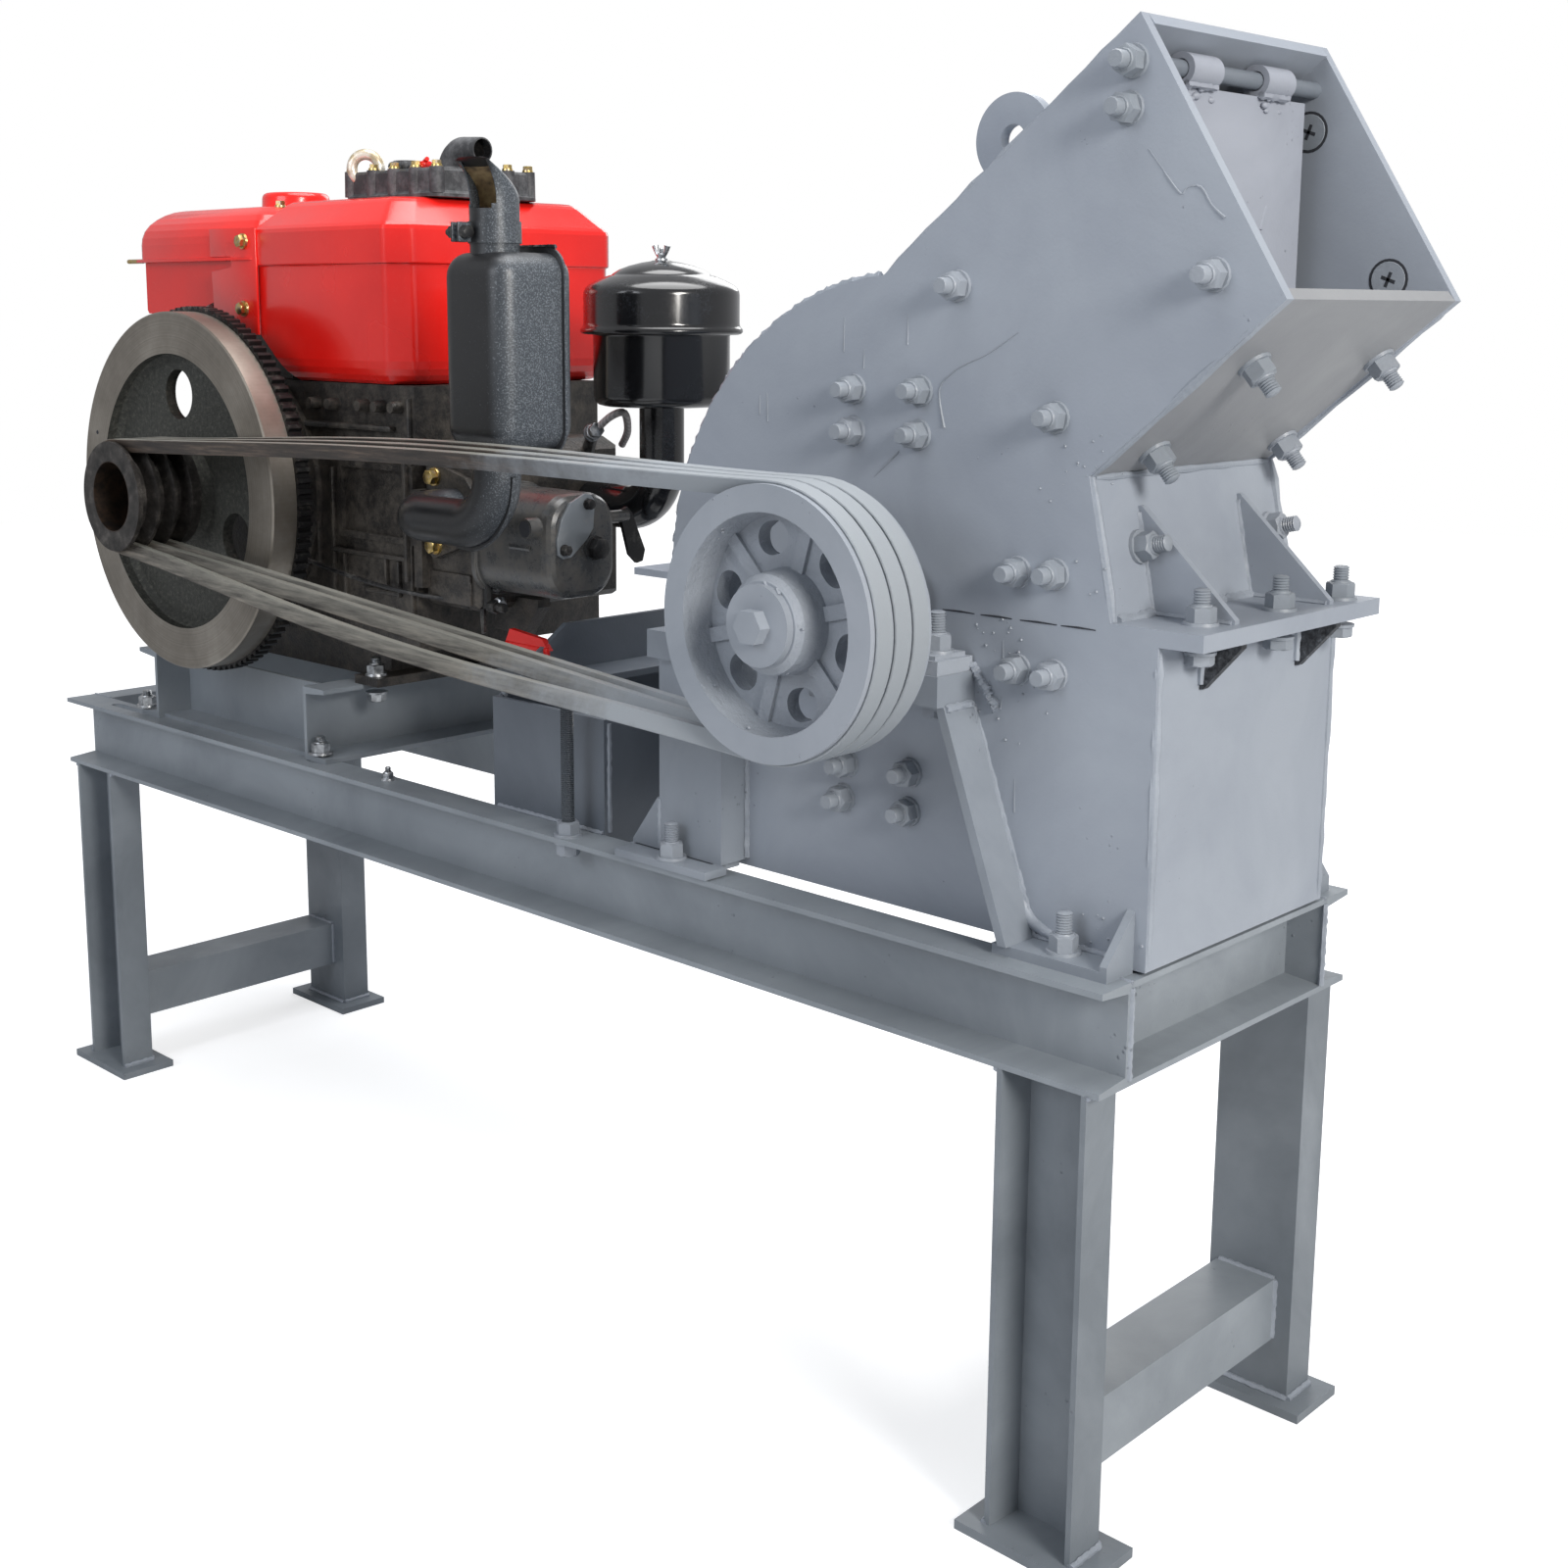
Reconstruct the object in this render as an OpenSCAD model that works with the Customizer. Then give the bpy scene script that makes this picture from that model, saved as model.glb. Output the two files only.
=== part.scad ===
// Hammer crusher driven by a single-cylinder diesel engine, both bolted to one
// channel-steel table. +X runs from the engine to the feed chute, -Y is the belt
// side, +Z is up. The origin lies on the floor under the middle of the whole plant.

/* [Table] */
// Length of the table top
table_l = 1896; // [1700:4:2300]
// Width of the table top over the flange tips
table_w = 456; // [430:2:520]
// Height of the table top above the floor
table_h = 578; // [400:2:800]
// Depth of the table channels
channel_h = 100; // [80:1:120]
// Flange width of the table channels
channel_b = 48; // [40:1:56]
// Web thickness of the table channels
channel_web = 6; // [5:0.5:8]
// Flange thickness of the table channels at the tip
channel_tip = 6; // [5:0.5:8]
// Flange thickness of the table channels at the web
channel_root = 10; // [8:0.5:12]
// Distance of the left legs from the left end of the table
leg_inset_left = 22; // [0:1:150]
// Distance of the right legs from the right end of the table
leg_inset_right = 13; // [0:1:150]
// Length of a foot plate
foot_l = 150; // [110:1:200]
// Width of a foot plate
foot_w = 84; // [60:1:120]
// Thickness of a foot plate
foot_t = 10; // [6:1:16]
// Leg width of the brace angles
brace_b = 70; // [40:1:90]
// Thickness of the brace angles
brace_t = 7; // [4:1:10]
// Height of the top of the braces above the floor
brace_z = 144; // [100:1:400]

/* [Crusher housing] */
// Distance of the rotor axis right of the middle of the table
rotor_x = 650; // [500:1:700]
// Height of the rotor axis and of the split above the table top
rotor_h = 312; // [280:1:360]
// Clear width of the crushing chamber
chamber_w = 304; // [250:1:340]
// Offset of the chamber's middle behind the middle of the table
chamber_y = 4; // [0:1:10]
// Thickness of the housing plates
wall_t = 12; // [8:1:16]
// Outer radius of the round part of the housing
shell_r = 320; // [290:1:340]
// Distance from the rotor axis back to where the chute roof starts
roof_back = 25; // [0:1:60]
// Slope of the chute roof in degrees
roof_slope = 38; // [30:1:45]
// Length of the chute roof
roof_l = 355; // [290:1:410]
// Length of the chute mouth
mouth_l = 285; // [240:1:320]
// Lean of the chute mouth below the horizontal in degrees
mouth_lean = 58; // [52:0.5:64]
// Slope of the chute floor in degrees
floor_slope = 40; // [32:1:46]
// Length of the chute floor
floor_l = 244; // [190:1:270]
// Distance from the rotor axis to the foot of the upper end wall
end_wall_u = 247; // [220:1:270]
// Distance from the rotor axis to the outer face of the lower end plate
base_right_u = 298; // [270:1:320]
// Distance from the rotor axis to the tip of the split flange
flange_u = 343; // [320:1:370]
// Thickness of each split flange plate
flange_t = 8; // [6:1:14]
// Reach of the split flange on the engine side
left_flange = 62; // [30:1:90]
// Thickness of the gussets on the split flanges
gusset_t = 8; // [5:1:12]
// Gap between the lower housing plates and the table top
base_lift = 3; // [0:0.5:6]

/* [Bearing brackets] */
// Length of a pillow block's base
block_l = 190; // [170:1:210]
// Width of a pillow block's base
block_w = 54; // [44:1:56]
// Height of the shaft above the bracket
block_h = 54; // [48:1:64]
// Reach of a bracket outside the housing
bracket_w = 58; // [57:1:64]
// Height of the bracket's top beam
bracket_t = 30; // [20:1:40]
// Distance from the rotor axis to the bracket's end on the engine side
bracket_left = 300; // [250:1:315]
// Spread of the slanting leg between the bracket and its foot
leg_spread = 80; // [40:1:110]
// Thickness of the bracket plates
bracket_plate = 10; // [6:1:12]
// Length of a bracket foot
bracket_foot_l = 128; // [100:1:140]
// Width of a bracket foot outside the housing
bracket_foot_w = 43; // [38:1:56]

/* [Feed flap] */
// Diameter of the flap rod
flap_rod_d = 16; // [12:1:24]
// Distance of the flap rod from the rotor axis
flap_u = 250; // [230:1:262]
// Height of the flap rod above the rotor axis
flap_v = 497; // [470:1:505]
// Length of the flap below its rod
flap_l = 270; // [200:1:275]
// Thickness of the flap plate
flap_t = 6; // [4:1:10]
// Gap between the flap and each side wall
flap_side_gap = 22; // [8:1:40]

/* [Rotor] */
// Diameter of the rotor shaft at the bearings
shaft_d = 45; // [40:1:60]
// Radius of the rotor discs
disc_r = 140; // [120:1:150]
// Thickness of a rotor disc
disc_t = 14; // [8:1:20]
// Number of rotor discs
disc_n = 4; // [3:1:5]
// Radius of the circle of the hammer tips
hammer_tip_r = 205; // [190:1:215]
// Radius of the circle of the hammer pins
hammer_pin_r = 112; // [95:1:118]
// Diameter of a hammer pin
hammer_pin_d = 24; // [16:1:30]
// Number of hammer rows round the rotor
hammer_rows = 4; // [2:1:4]
// Thickness of a hammer
hammer_t = 50; // [30:1:56]
// Width of a hammer
hammer_w = 62; // [50:1:70]
// Clearance between the grate bars and the hammer tips
grate_gap = 15; // [8:1:25]
// Number of grate bars
grate_n = 9; // [5:2:11]

/* [Belt drive] */
// Distance of the front rim of both pulleys in front of the middle of the table
pulley_front = 355; // [345:1:370]
// Diameter of the driven pulley
driven_d = 260; // [220:1:290]
// Diameter of the engine pulley
drive_d = 146; // [110:1:170]
// Number of belts
belt_n = 3; // [1:1:3]
// Distance between two belts
belt_pitch = 25.5; // [25:0.5:27]
// Distance from the middle of an outer belt to the pulley rim
belt_edge = 17; // [16:0.5:20]
// Width of a belt over its back
belt_top_w = 22; // [20:0.5:23]
// Height of a belt
belt_h = 14; // [12:0.5:15]
// Half of the wedge angle of a belt in degrees
belt_half_angle = 20; // [18:0.5:22]
// Clearance between a belt and its groove
belt_gap = 0.4; // [0.3:0.1:0.5]
// Radial wall of the driven pulley's rim
rim_t = 26; // [24:1:32]
// Number of spokes and of windows in the driven pulley
spoke_n = 6; // [4:1:8]

/* [Engine] */
// Distance of the crankshaft left of the middle of the table
crank_x = 543; // [450:1:560]
// Height of the crankshaft above the table top
crank_h = 348; // [330:1:380]
// Radius of the flywheel
flywheel_r = 243; // [220:1:246]
// Width of the flywheel rim
flywheel_w = 36; // [30:1:44]
// Distance of the flywheel's front face in front of the middle of the table
flywheel_front = 262; // [255:1:268]
// Width of the starter ring gear
ring_gear_w = 20; // [14:1:22]
// Tip radius of the starter ring gear
ring_gear_r = 250; // [247:1:254]
// Number of teeth on the starter ring gear
ring_gear_n = 110; // [80:1:130]
// Radius of the recess in the flywheel's face
recess_r = 187; // [160:1:195]
// Diameter of the crankshaft behind the flywheel
crank_d = 64; // [50:1:80]
// Distance of the crankcase face in front of the middle of the table
crankcase_front = 140; // [120:1:170]
// Width of the crankcase
case_w = 310; // [280:1:330]
// Distance from the crankshaft to the crankcase's left end
case_left = 147; // [120:1:170]
// Distance from the crankshaft to the joint of the cylinder head
case_right = 383; // [360:1:400]
// Depth of the crankcase below the crankshaft
case_drop = 190; // [170:1:200]
// Radius of the bearing cover behind the flywheel
cover_r = 173; // [150:1:180]
// Length of the cylinder head
head_l = 110; // [95:1:125]
// Width of the cylinder head
head_w = 240; // [210:1:260]
// Height of the cylinder head
head_h = 210; // [180:1:230]
// Length of the rocker cover
rocker_l = 134; // [110:1:150]
// Width of the rocker cover
rocker_w = 112; // [95:1:120]
// Height of the rocker cover
rocker_h = 130; // [110:1:140]
// Corner radius of the rocker cover
rocker_r = 38; // [20:1:50]
// Distance from the crankshaft to the joint of the fuel tank and the radiator hood
hood_left = 56; // [40:1:80]
// Height of the radiator hood's underside above the crankshaft
hood_rise = 152; // [140:1:165]
// Height of the fuel tank's underside above the crankshaft
tank_rise = 239; // [225:1:255]
// Height of the radiator hood's top above the crankshaft
hood_top = 389; // [370:1:410]
// Length of the radiator hood
hood_l = 322; // [280:1:360]
// Length of the fuel tank
tank_l = 303; // [260:1:330]
// Width of the radiator hood and the fuel tank
hood_w = 360; // [320:2:390]
// Distance of the hood's front face in front of the middle of the table
hood_front = 160; // [145:1:175]
// Chamfer round the top of the hood and of the tank
hood_bevel = 38; // [20:1:50]
// Depth of the bead line below the top of the hood
bead_depth = 83; // [60:1:100]
// Diameter of the exhaust pipe and of the intake pipe
pipe_d = 56; // [45:1:60]
// Bend radius of the exhaust pipe and of the intake pipe
pipe_bend = 60; // [50:1:75]
// Distance of the exhaust port right of the crankshaft
port_u = 458; // [450:1:462]
// Distance of the upright exhaust pipe right of the crankshaft
riser_u = 645; // [630:1:665]
// Distance of the muffler right of the crankshaft
muffler_u = 660; // [640:1:680]
// Distance of the muffler in front of the middle of the table
muffler_front = 220; // [215:1:230]
// Height of the muffler's underside above the crankshaft
muffler_rise = 96; // [85:1:120]
// Width of the muffler
muffler_w = 118; // [90:1:124]
// Depth of the muffler in front of its seam
muffler_t = 88; // [70:1:92]
// Height of the muffler shell
muffler_h = 223; // [190:1:250]
// Corner radius of the muffler shell
muffler_r = 24; // [16:1:34]
// Distance of the air filter right of the crankshaft
filter_u = 626; // [615:1:650]
// Distance of the air filter behind the middle of the table
filter_back = 60; // [40:1:80]
// Height of the air filter's underside above the crankshaft
filter_rise = 130; // [120:1:150]
// Diameter of the air filter's bowl
filter_d = 170; // [150:1:180]
// Height of the air filter's bowl
bowl_h = 90; // [70:1:110]
// Diameter of the air filter's lid
filter_lid_d = 196; // [180:1:206]
// Height of the air filter's lid
lid_h = 59; // [45:1:75]

/* [Centre box] */
// Length of the centre box
box_l = 200; // [160:2:210]
// Height of the centre box's low walls
box_h = 135; // [100:1:150]
// Height of the centre box's tall wall
box_tall_h = 212; // [180:1:220]
// Thickness of the centre box plates
box_t = 8; // [5:1:12]

/* [Hidden] */

$fn = 96;
rotor_z = table_h + rotor_h;
crank_z = table_h + crank_h;
leg_h = table_h - channel_h - foot_t;
leg_left_x = -table_l / 2 + leg_inset_left;
leg_right_x = table_l / 2 - leg_inset_right - channel_h;
beam_web_y = table_w / 2 - channel_b;
foot_mid_y = beam_web_y + channel_b / 2 - 3;
washer_t = 8;
bolt_head_h = 13;

side_front_y = chamber_y - chamber_w / 2 - wall_t;
side_rear_y = chamber_y + chamber_w / 2;
roof_start = [-roof_back, sqrt(shell_r * shell_r - roof_back * roof_back)];
roof_dir = [cos(roof_slope), sin(roof_slope)];
roof_normal = [-sin(roof_slope), cos(roof_slope)];
floor_dir = [cos(floor_slope), sin(floor_slope)];
floor_normal = [-sin(floor_slope), cos(floor_slope)];
apex = roof_start + roof_l * roof_dir;
lip = apex + mouth_l * [cos(mouth_lean), -sin(mouth_lean)];
throat = lip - floor_l * floor_dir;
end_foot = [end_wall_u, flange_t];
base_bottom = base_lift - rotor_h;
base_left_u = -shell_r;
fit_gap = 0.05;
seat_gap = 0.3;
shaft_clear = 6;
ring_seat_r = flywheel_r - 18;

pulley_w = (belt_n - 1) * belt_pitch + 2 * belt_edge;
groove_depth = belt_h + 4;
belt_proud = 1.5;
belt_low_w = belt_top_w - 2 * belt_h * tan(belt_half_angle);

engine_beam_right_x = 210 - crank_x;
engine_beam_left_x = -169 - crank_x;

// The origin in the frame of the table's middle
plant_left = min(-table_l / 2, leg_left_x + channel_h / 2 - foot_l / 2);
plant_right = rotor_x + lip[0];
plant_front = pulley_front + washer_t + bolt_head_h;
plant_rear = foot_mid_y + foot_w / 2;
origin_x = (plant_left + plant_right) / 2;
origin_y = (plant_rear - plant_front) / 2;

module placed() {
    translate([-origin_x, -origin_y, 0]) children();
}

// Frame of the crusher: the rotor axis at the split
module at_rotor() {
    placed() translate([rotor_x, 0, rotor_z]) children();
}

// Frame of the engine: the crankshaft axis
module at_crank() {
    placed() translate([-crank_x, 0, crank_z]) children();
}

// Extrudes an outline drawn in X and Z along +Y, from y0 over a width w
module along_y(y0, w) {
    translate([0, y0 + w, 0]) rotate([90, 0, 0]) linear_extrude(height = w) children();
}

// Revolves an outline of [radius, distance] about the Y axis
module about_y() {
    rotate([-90, 0, 0]) rotate_extrude() children();
}

// Section of a rolled channel: web at x = 0, flanges towards side * x
module channel_section(side) {
    polygon([[0, 0], [side * channel_b, 0], [side * channel_b, channel_tip],
        [side * channel_web, channel_root], [side * channel_web, channel_h - channel_root],
        [side * channel_b, channel_h - channel_tip], [side * channel_b, channel_h],
        [0, channel_h]]);
}

// Channel bar along +X, flanges towards side * Y
module bar_x(len, side) {
    rotate([90, 0, 90]) linear_extrude(height = len) channel_section(side);
}

// Channel bar along +Y, flanges towards side * X
module bar_y(len, side) {
    translate([0, len, 0]) rotate([90, 0, 0]) linear_extrude(height = len) channel_section(side);
}

// Channel bar along +Z, web across X, flanges towards side * Y
module bar_z(len, side) {
    translate([channel_h, 0, 0]) rotate([0, 0, 90]) linear_extrude(height = len) channel_section(side);
}

// Main beam with slots in its top flange, along which the engine slides to tension the belts
module table_beam(side) {
    slot_w = 15;
    slot_y = beam_web_y + channel_web + 14;
    long_slot = [engine_beam_left_x - 88, 92];
    short_slot = [engine_beam_right_x + channel_b / 2, 30];
    color([0.5, 0.55, 0.6]) placed() difference() {
        translate([-table_l / 2, side * beam_web_y, table_h - channel_h]) bar_x(table_l, side);
        for (slot = [long_slot, short_slot])
            translate([slot[0], side * slot_y, table_h - channel_root - 1]) {
                for (end = [-1, 1]) translate([end * slot[1] / 2, 0, 0])
                    cylinder(d = slot_w, h = channel_root + 2);
                translate([-slot[1] / 2, -slot_w / 2, 0]) cube([slot[1], slot_w, channel_root + 2]);
            }
    }
}

module table_beam_front() { table_beam(-1); }
module table_beam_rear() { table_beam(1); }

module table_crossbeams() {
    clear_w = 2 * beam_web_y;
    color([0.5, 0.55, 0.6]) placed() {
        translate([-table_l / 2 + channel_b, -clear_w / 2, table_h - channel_h]) bar_y(clear_w, -1);
        translate([table_l / 2 - channel_b, -clear_w / 2, table_h - channel_h]) bar_y(clear_w, 1);
    }
}

// One leg with its foot plate: side is -1 in front and 1 behind
module leg(x, side) {
    color([0.55, 0.6, 0.65]) placed() {
        translate([x, side * beam_web_y, foot_t]) bar_z(leg_h, side);
        translate([x + channel_h / 2 - foot_l / 2, side * foot_mid_y - foot_w / 2, 0])
            cube([foot_l, foot_w, foot_t]);
    }
}

module leg_front_left() { leg(leg_left_x, -1); }
module leg_front_right() { leg(leg_right_x, -1); }
module leg_rear_left() { leg(leg_left_x, 1); }
module leg_rear_right() { leg(leg_right_x, 1); }

module angle_section(b, t) {
    polygon([[0, 0], [b, 0], [b, -t], [t, -t], [t, -b], [0, -b]]);
}

// Angle braces between the webs of each pair of legs
module leg_braces() {
    brace_l = 2 * beam_web_y;
    color([0.55, 0.6, 0.65]) placed() for (x = [leg_left_x + 4, leg_right_x + 10])
        translate([x + brace_b, 0, brace_z]) mirror([1, 0, 0])
            along_y(-brace_l / 2, brace_l) angle_section(brace_b, brace_t);
}

// Two channels across the table that carry the engine
module engine_beams() {
    beam_l = 2 * 205;
    color([0.5, 0.55, 0.6]) placed() {
        translate([engine_beam_left_x, -beam_l / 2, table_h]) bar_y(beam_l, -1);
        translate([engine_beam_right_x, -beam_l / 2, table_h]) bar_y(beam_l, 1);
    }
}

// Two angles that tie the engine channels together
module engine_rails() {
    rail_l = engine_beam_right_x - engine_beam_left_x;
    rail_y = 146;
    rail_b = 50;
    rail_h = 90;
    rail_t = 6;
    color([0.5, 0.55, 0.6]) placed() for (side = [-1, 1])
        translate([engine_beam_left_x, side * rail_y, table_h]) rotate([90, 0, 90])
            linear_extrude(height = rail_l)
                polygon([[0, 0], [side * rail_b, 0], [side * rail_b, rail_t],
                    [side * rail_t, rail_t], [side * rail_t, rail_h], [0, rail_h]]);
}

// Open plate box across the table, taller on the engine side
module centre_box() {
    box_x = 37;
    front_y = beam_web_y - seat_gap;
    depth = 2 * front_y;
    drop = 60;
    wall_h = box_h + drop;
    tall_h = box_tall_h + drop;
    color([0.45, 0.5, 0.55]) placed() translate([box_x, -front_y, table_h - drop]) {
        cube([box_l, box_t, wall_h]);
        translate([0, depth - box_t, 0]) cube([box_l, box_t, wall_h]);
        translate([box_l - box_t, box_t, 0]) cube([box_t, depth - 2 * box_t, wall_h]);
        translate([0, box_t, 0]) rotate([90, 0, 90]) linear_extrude(height = box_t)
            polygon([[0, 0], [0, wall_h], [55, wall_h + 43], [105, tall_h],
                [depth - 2 * box_t, tall_h], [depth - 2 * box_t, 0]]);
        translate([box_t, box_t, wall_h + 12]) cube([65, depth - 2 * box_t, box_t]);
    }
}

// Threaded stud that stands on the table flange behind the belts
module tension_stud() {
    color([0.4, 0.42, 0.45]) placed() translate([208, -beam_web_y - 30, table_h]) cylinder(d = 16, h = 165);
}

module housing_color() {
    color([0.62, 0.66, 0.71]) children();
}

// Outline of a lower side plate below the split
module base_side_outline() {
    difference() {
        polygon([[base_left_u, 0], [base_left_u, base_bottom], [base_right_u, base_bottom],
            [base_right_u, -flange_t], [end_wall_u, -flange_t], [end_wall_u, 0]]);
        circle(d = shaft_d + 2 * shaft_clear);
    }
}

module base_side(y0) {
    housing_color() at_rotor() along_y(y0, wall_t) base_side_outline();
}

module base_side_front() { base_side(side_front_y); }
module base_side_rear() { base_side(side_rear_y); }

// End plates of the lower housing, between its side plates
module base_ends() {
    inner_y = side_front_y + wall_t;
    housing_color() at_rotor() {
        translate([base_right_u - wall_t, inner_y, base_bottom])
            cube([wall_t, chamber_w, -flange_t - base_bottom]);
        translate([base_left_u, inner_y, base_bottom]) cube([wall_t, chamber_w, -base_bottom]);
    }
}

// One triangular gusset, its right angle at the origin, legs along +X and along side * Z
module gusset(reach, rise, side) {
    along_y(-gusset_t / 2, gusset_t) polygon(side > 0
        ? [[0, 0], [reach, 0], [reach, 4], [4, rise], [0, rise]]
        : [[0, 0], [0, -rise], [4, -rise], [reach, -4], [reach, 0]]);
}

// Flange plates at the split, stiffened by two gussets above and two below
module split_flanges() {
    full_w = chamber_w + 2 * wall_t;
    gusset_y = 88;
    upper_rise = 100;
    upper_reach = flange_u - end_wall_u - 12;
    lower_rise = 46;
    lower_reach = flange_u - base_right_u - 4;
    lean = (throat[0] - end_foot[0]) / (throat[1] - end_foot[1]);
    housing_color() at_rotor() {
        translate([end_wall_u, side_front_y, 0]) cube([flange_u - end_wall_u, full_w, flange_t]);
        translate([end_wall_u, side_front_y, -flange_t]) cube([flange_u - end_wall_u, full_w, flange_t]);
        translate([base_left_u - left_flange, side_front_y, -flange_t])
            cube([left_flange, full_w, flange_t]);
        for (side = [-1, 1]) translate([0, chamber_y + side * gusset_y, 0]) {
            translate([base_right_u, 0, -flange_t]) gusset(lower_reach, lower_rise, -1);
            along_y(-gusset_t / 2, gusset_t) polygon([end_foot, [end_wall_u + upper_reach, flange_t],
                [end_wall_u + upper_reach, flange_t + 4],
                [end_wall_u + lean * upper_rise + 4, flange_t + upper_rise],
                [end_wall_u + lean * upper_rise, flange_t + upper_rise]]);
        }
    }
}

// Round back of the upper housing above the split
module round_back() {
    difference() {
        circle(r = shell_r);
        translate([-shell_r - 1, -shell_r - 1]) square([2 * shell_r + 2, shell_r + 1]);
    }
}

// Outline of an upper side plate: round back, sloping chute and leaning end wall
module top_side_outline() {
    difference() {
        union() {
            round_back();
            polygon([[0, 1], throat, lip, apex, roof_start - 20 * roof_dir]);
        }
        circle(d = shaft_d + 2 * shaft_clear);
        polygon([throat, lip, [lip[0] + 1, -1], [end_wall_u, -1], end_foot]);
    }
}

module top_side(y0) {
    housing_color() at_rotor() along_y(y0, wall_t) top_side_outline();
}

module top_side_front() { top_side(side_front_y); }
module top_side_rear() { top_side(side_rear_y); }

// Rolled back plate and flat chute roof in one run, between the side plates
module top_shell() {
    roof_inner = roof_start - wall_t * roof_normal;
    apex_inner = apex - wall_t * roof_normal;
    housing_color() at_rotor() along_y(side_front_y + wall_t, chamber_w) difference() {
        union() {
            round_back();
            polygon([roof_start - 20 * roof_dir, [0, 200], apex - 2 * wall_t * roof_normal, apex]);
        }
        circle(r = shell_r - wall_t);
        polygon([[0, -1], roof_inner - 12 * roof_dir, apex_inner + 30 * roof_dir,
            [lip[0], lip[1]], [lip[0], -1]]);
    }
}

module chute_floor() {
    housing_color() at_rotor() along_y(side_front_y + wall_t, chamber_w)
        polygon([lip, throat, throat + wall_t * floor_normal, lip + wall_t * floor_normal]);
}

// Leaning end wall under the chute
module top_end_wall() {
    housing_color() at_rotor() along_y(side_front_y + wall_t, chamber_w)
        polygon([throat, end_foot, [end_foot[0] - wall_t, end_foot[1]], throat - [wall_t, 0]]);
}

// Ring welded on the chute roof for the crane hook
module lifting_lug() {
    lug_r = 46;
    hole_r = 15;
    lug_t = 14;
    along = 110;
    rise = 86;
    foot = roof_start + along * roof_dir;
    housing_color() at_rotor() along_y(chamber_y - lug_t / 2, lug_t) translate(foot) rotate(roof_slope)
        difference() {
            union() {
                translate([0, rise]) circle(r = lug_r);
                polygon([[-58, seat_gap], [58, seat_gap], [lug_r, rise], [-lug_r, rise]]);
            }
            translate([0, rise]) circle(r = hole_r);
        }
}

module flap_rod() {
    color([0.2, 0.2, 0.22]) at_rotor() translate([flap_u, side_front_y + wall_t, flap_v])
        rotate([-90, 0, 0]) cylinder(d = flap_rod_d, h = chamber_w, $fn = 48);
}

// Plate with two hinge tubes that hangs from the rod inside the mouth
module feed_flap() {
    tube_gap = 1;
    tube_t = 6;
    tube_l = 50;
    tube_r = flap_rod_d / 2 + tube_gap + tube_t;
    plate_w = chamber_w - 2 * flap_side_gap;
    tube_y = plate_w / 4;
    housing_color() at_rotor() translate([flap_u, chamber_y, flap_v]) {
        for (side = [-1, 1]) translate([0, side * tube_y - tube_l / 2, 0]) rotate([-90, 0, 0])
            difference() {
                cylinder(r = tube_r, h = tube_l, $fn = 48);
                translate([0, 0, -1]) cylinder(d = flap_rod_d + 2 * tube_gap, h = tube_l + 2, $fn = 48);
            }
        translate([-flap_t / 2, -plate_w / 2, -flap_l]) cube([flap_t, plate_w, flap_l - tube_r + 1]);
    }
}

// Grate bars in a half circle under the rotor, from side plate to side plate
module grate() {
    bar_h = 24;
    bar_w = 20;
    bar_a = 15;
    color([0.4, 0.4, 0.42]) at_rotor() for (i = [0 : grate_n - 1])
        rotate([0, 90 + (i - (grate_n - 1) / 2) * bar_a, 0])
            translate([hammer_tip_r + grate_gap, side_front_y + wall_t + seat_gap, -bar_w / 2])
                cube([bar_h, chamber_w - 2 * seat_gap, bar_w]);
}

// Bracket on the front side plate that carries the belt-side bearing
module bearing_support() {
    outer = side_front_y - bracket_w;
    top_z = -block_h;
    low_z = top_z - bracket_t;
    right = block_l / 2 + 2;
    foot_z = -rotor_h + bracket_plate;
    foot_y = side_front_y - bracket_foot_w;
    leg_y = side_front_y - bracket_foot_w - 5;
    post_l = 95;
    post_y = side_front_y - 40;
    left = -bracket_left;
    housing_color() at_rotor() {
        translate([left, outer, low_z]) cube([right - left, bracket_w, bracket_t]);
        along_y(leg_y, side_front_y - leg_y) polygon([[right, low_z], [right - bracket_plate, low_z],
            [right - bracket_plate + leg_spread, foot_z], [right + leg_spread, foot_z]]);
        translate([left, post_y, foot_z]) cube([post_l, bracket_plate, low_z - foot_z]);
        translate([left + post_l - bracket_plate, post_y, foot_z])
            cube([bracket_plate, side_front_y - post_y, low_z - foot_z]);
        for (x = [right + leg_spread - 20, left - 44]) translate([x, foot_y, -rotor_h])
            cube([bracket_foot_l, bracket_foot_w, bracket_plate]);
        translate([right + leg_spread - 20 + bracket_foot_l - gusset_t, 0, 0]) rotate([90, 0, 90])
            linear_extrude(height = gusset_t)
                polygon([[side_front_y, foot_z], [side_front_y, foot_z + 50], [foot_y, foot_z + 5],
                    [foot_y, foot_z]]);
        translate([left, post_y + bracket_plate / 2, foot_z]) mirror([1, 0, 0]) gusset(44, 58, 1);
    }
}

module bearing_support_front() { bearing_support(); }
module bearing_support_rear() {
    translate([0, 2 * (chamber_y - origin_y), 0]) mirror([0, 1, 0]) bearing_support();
}

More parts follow.
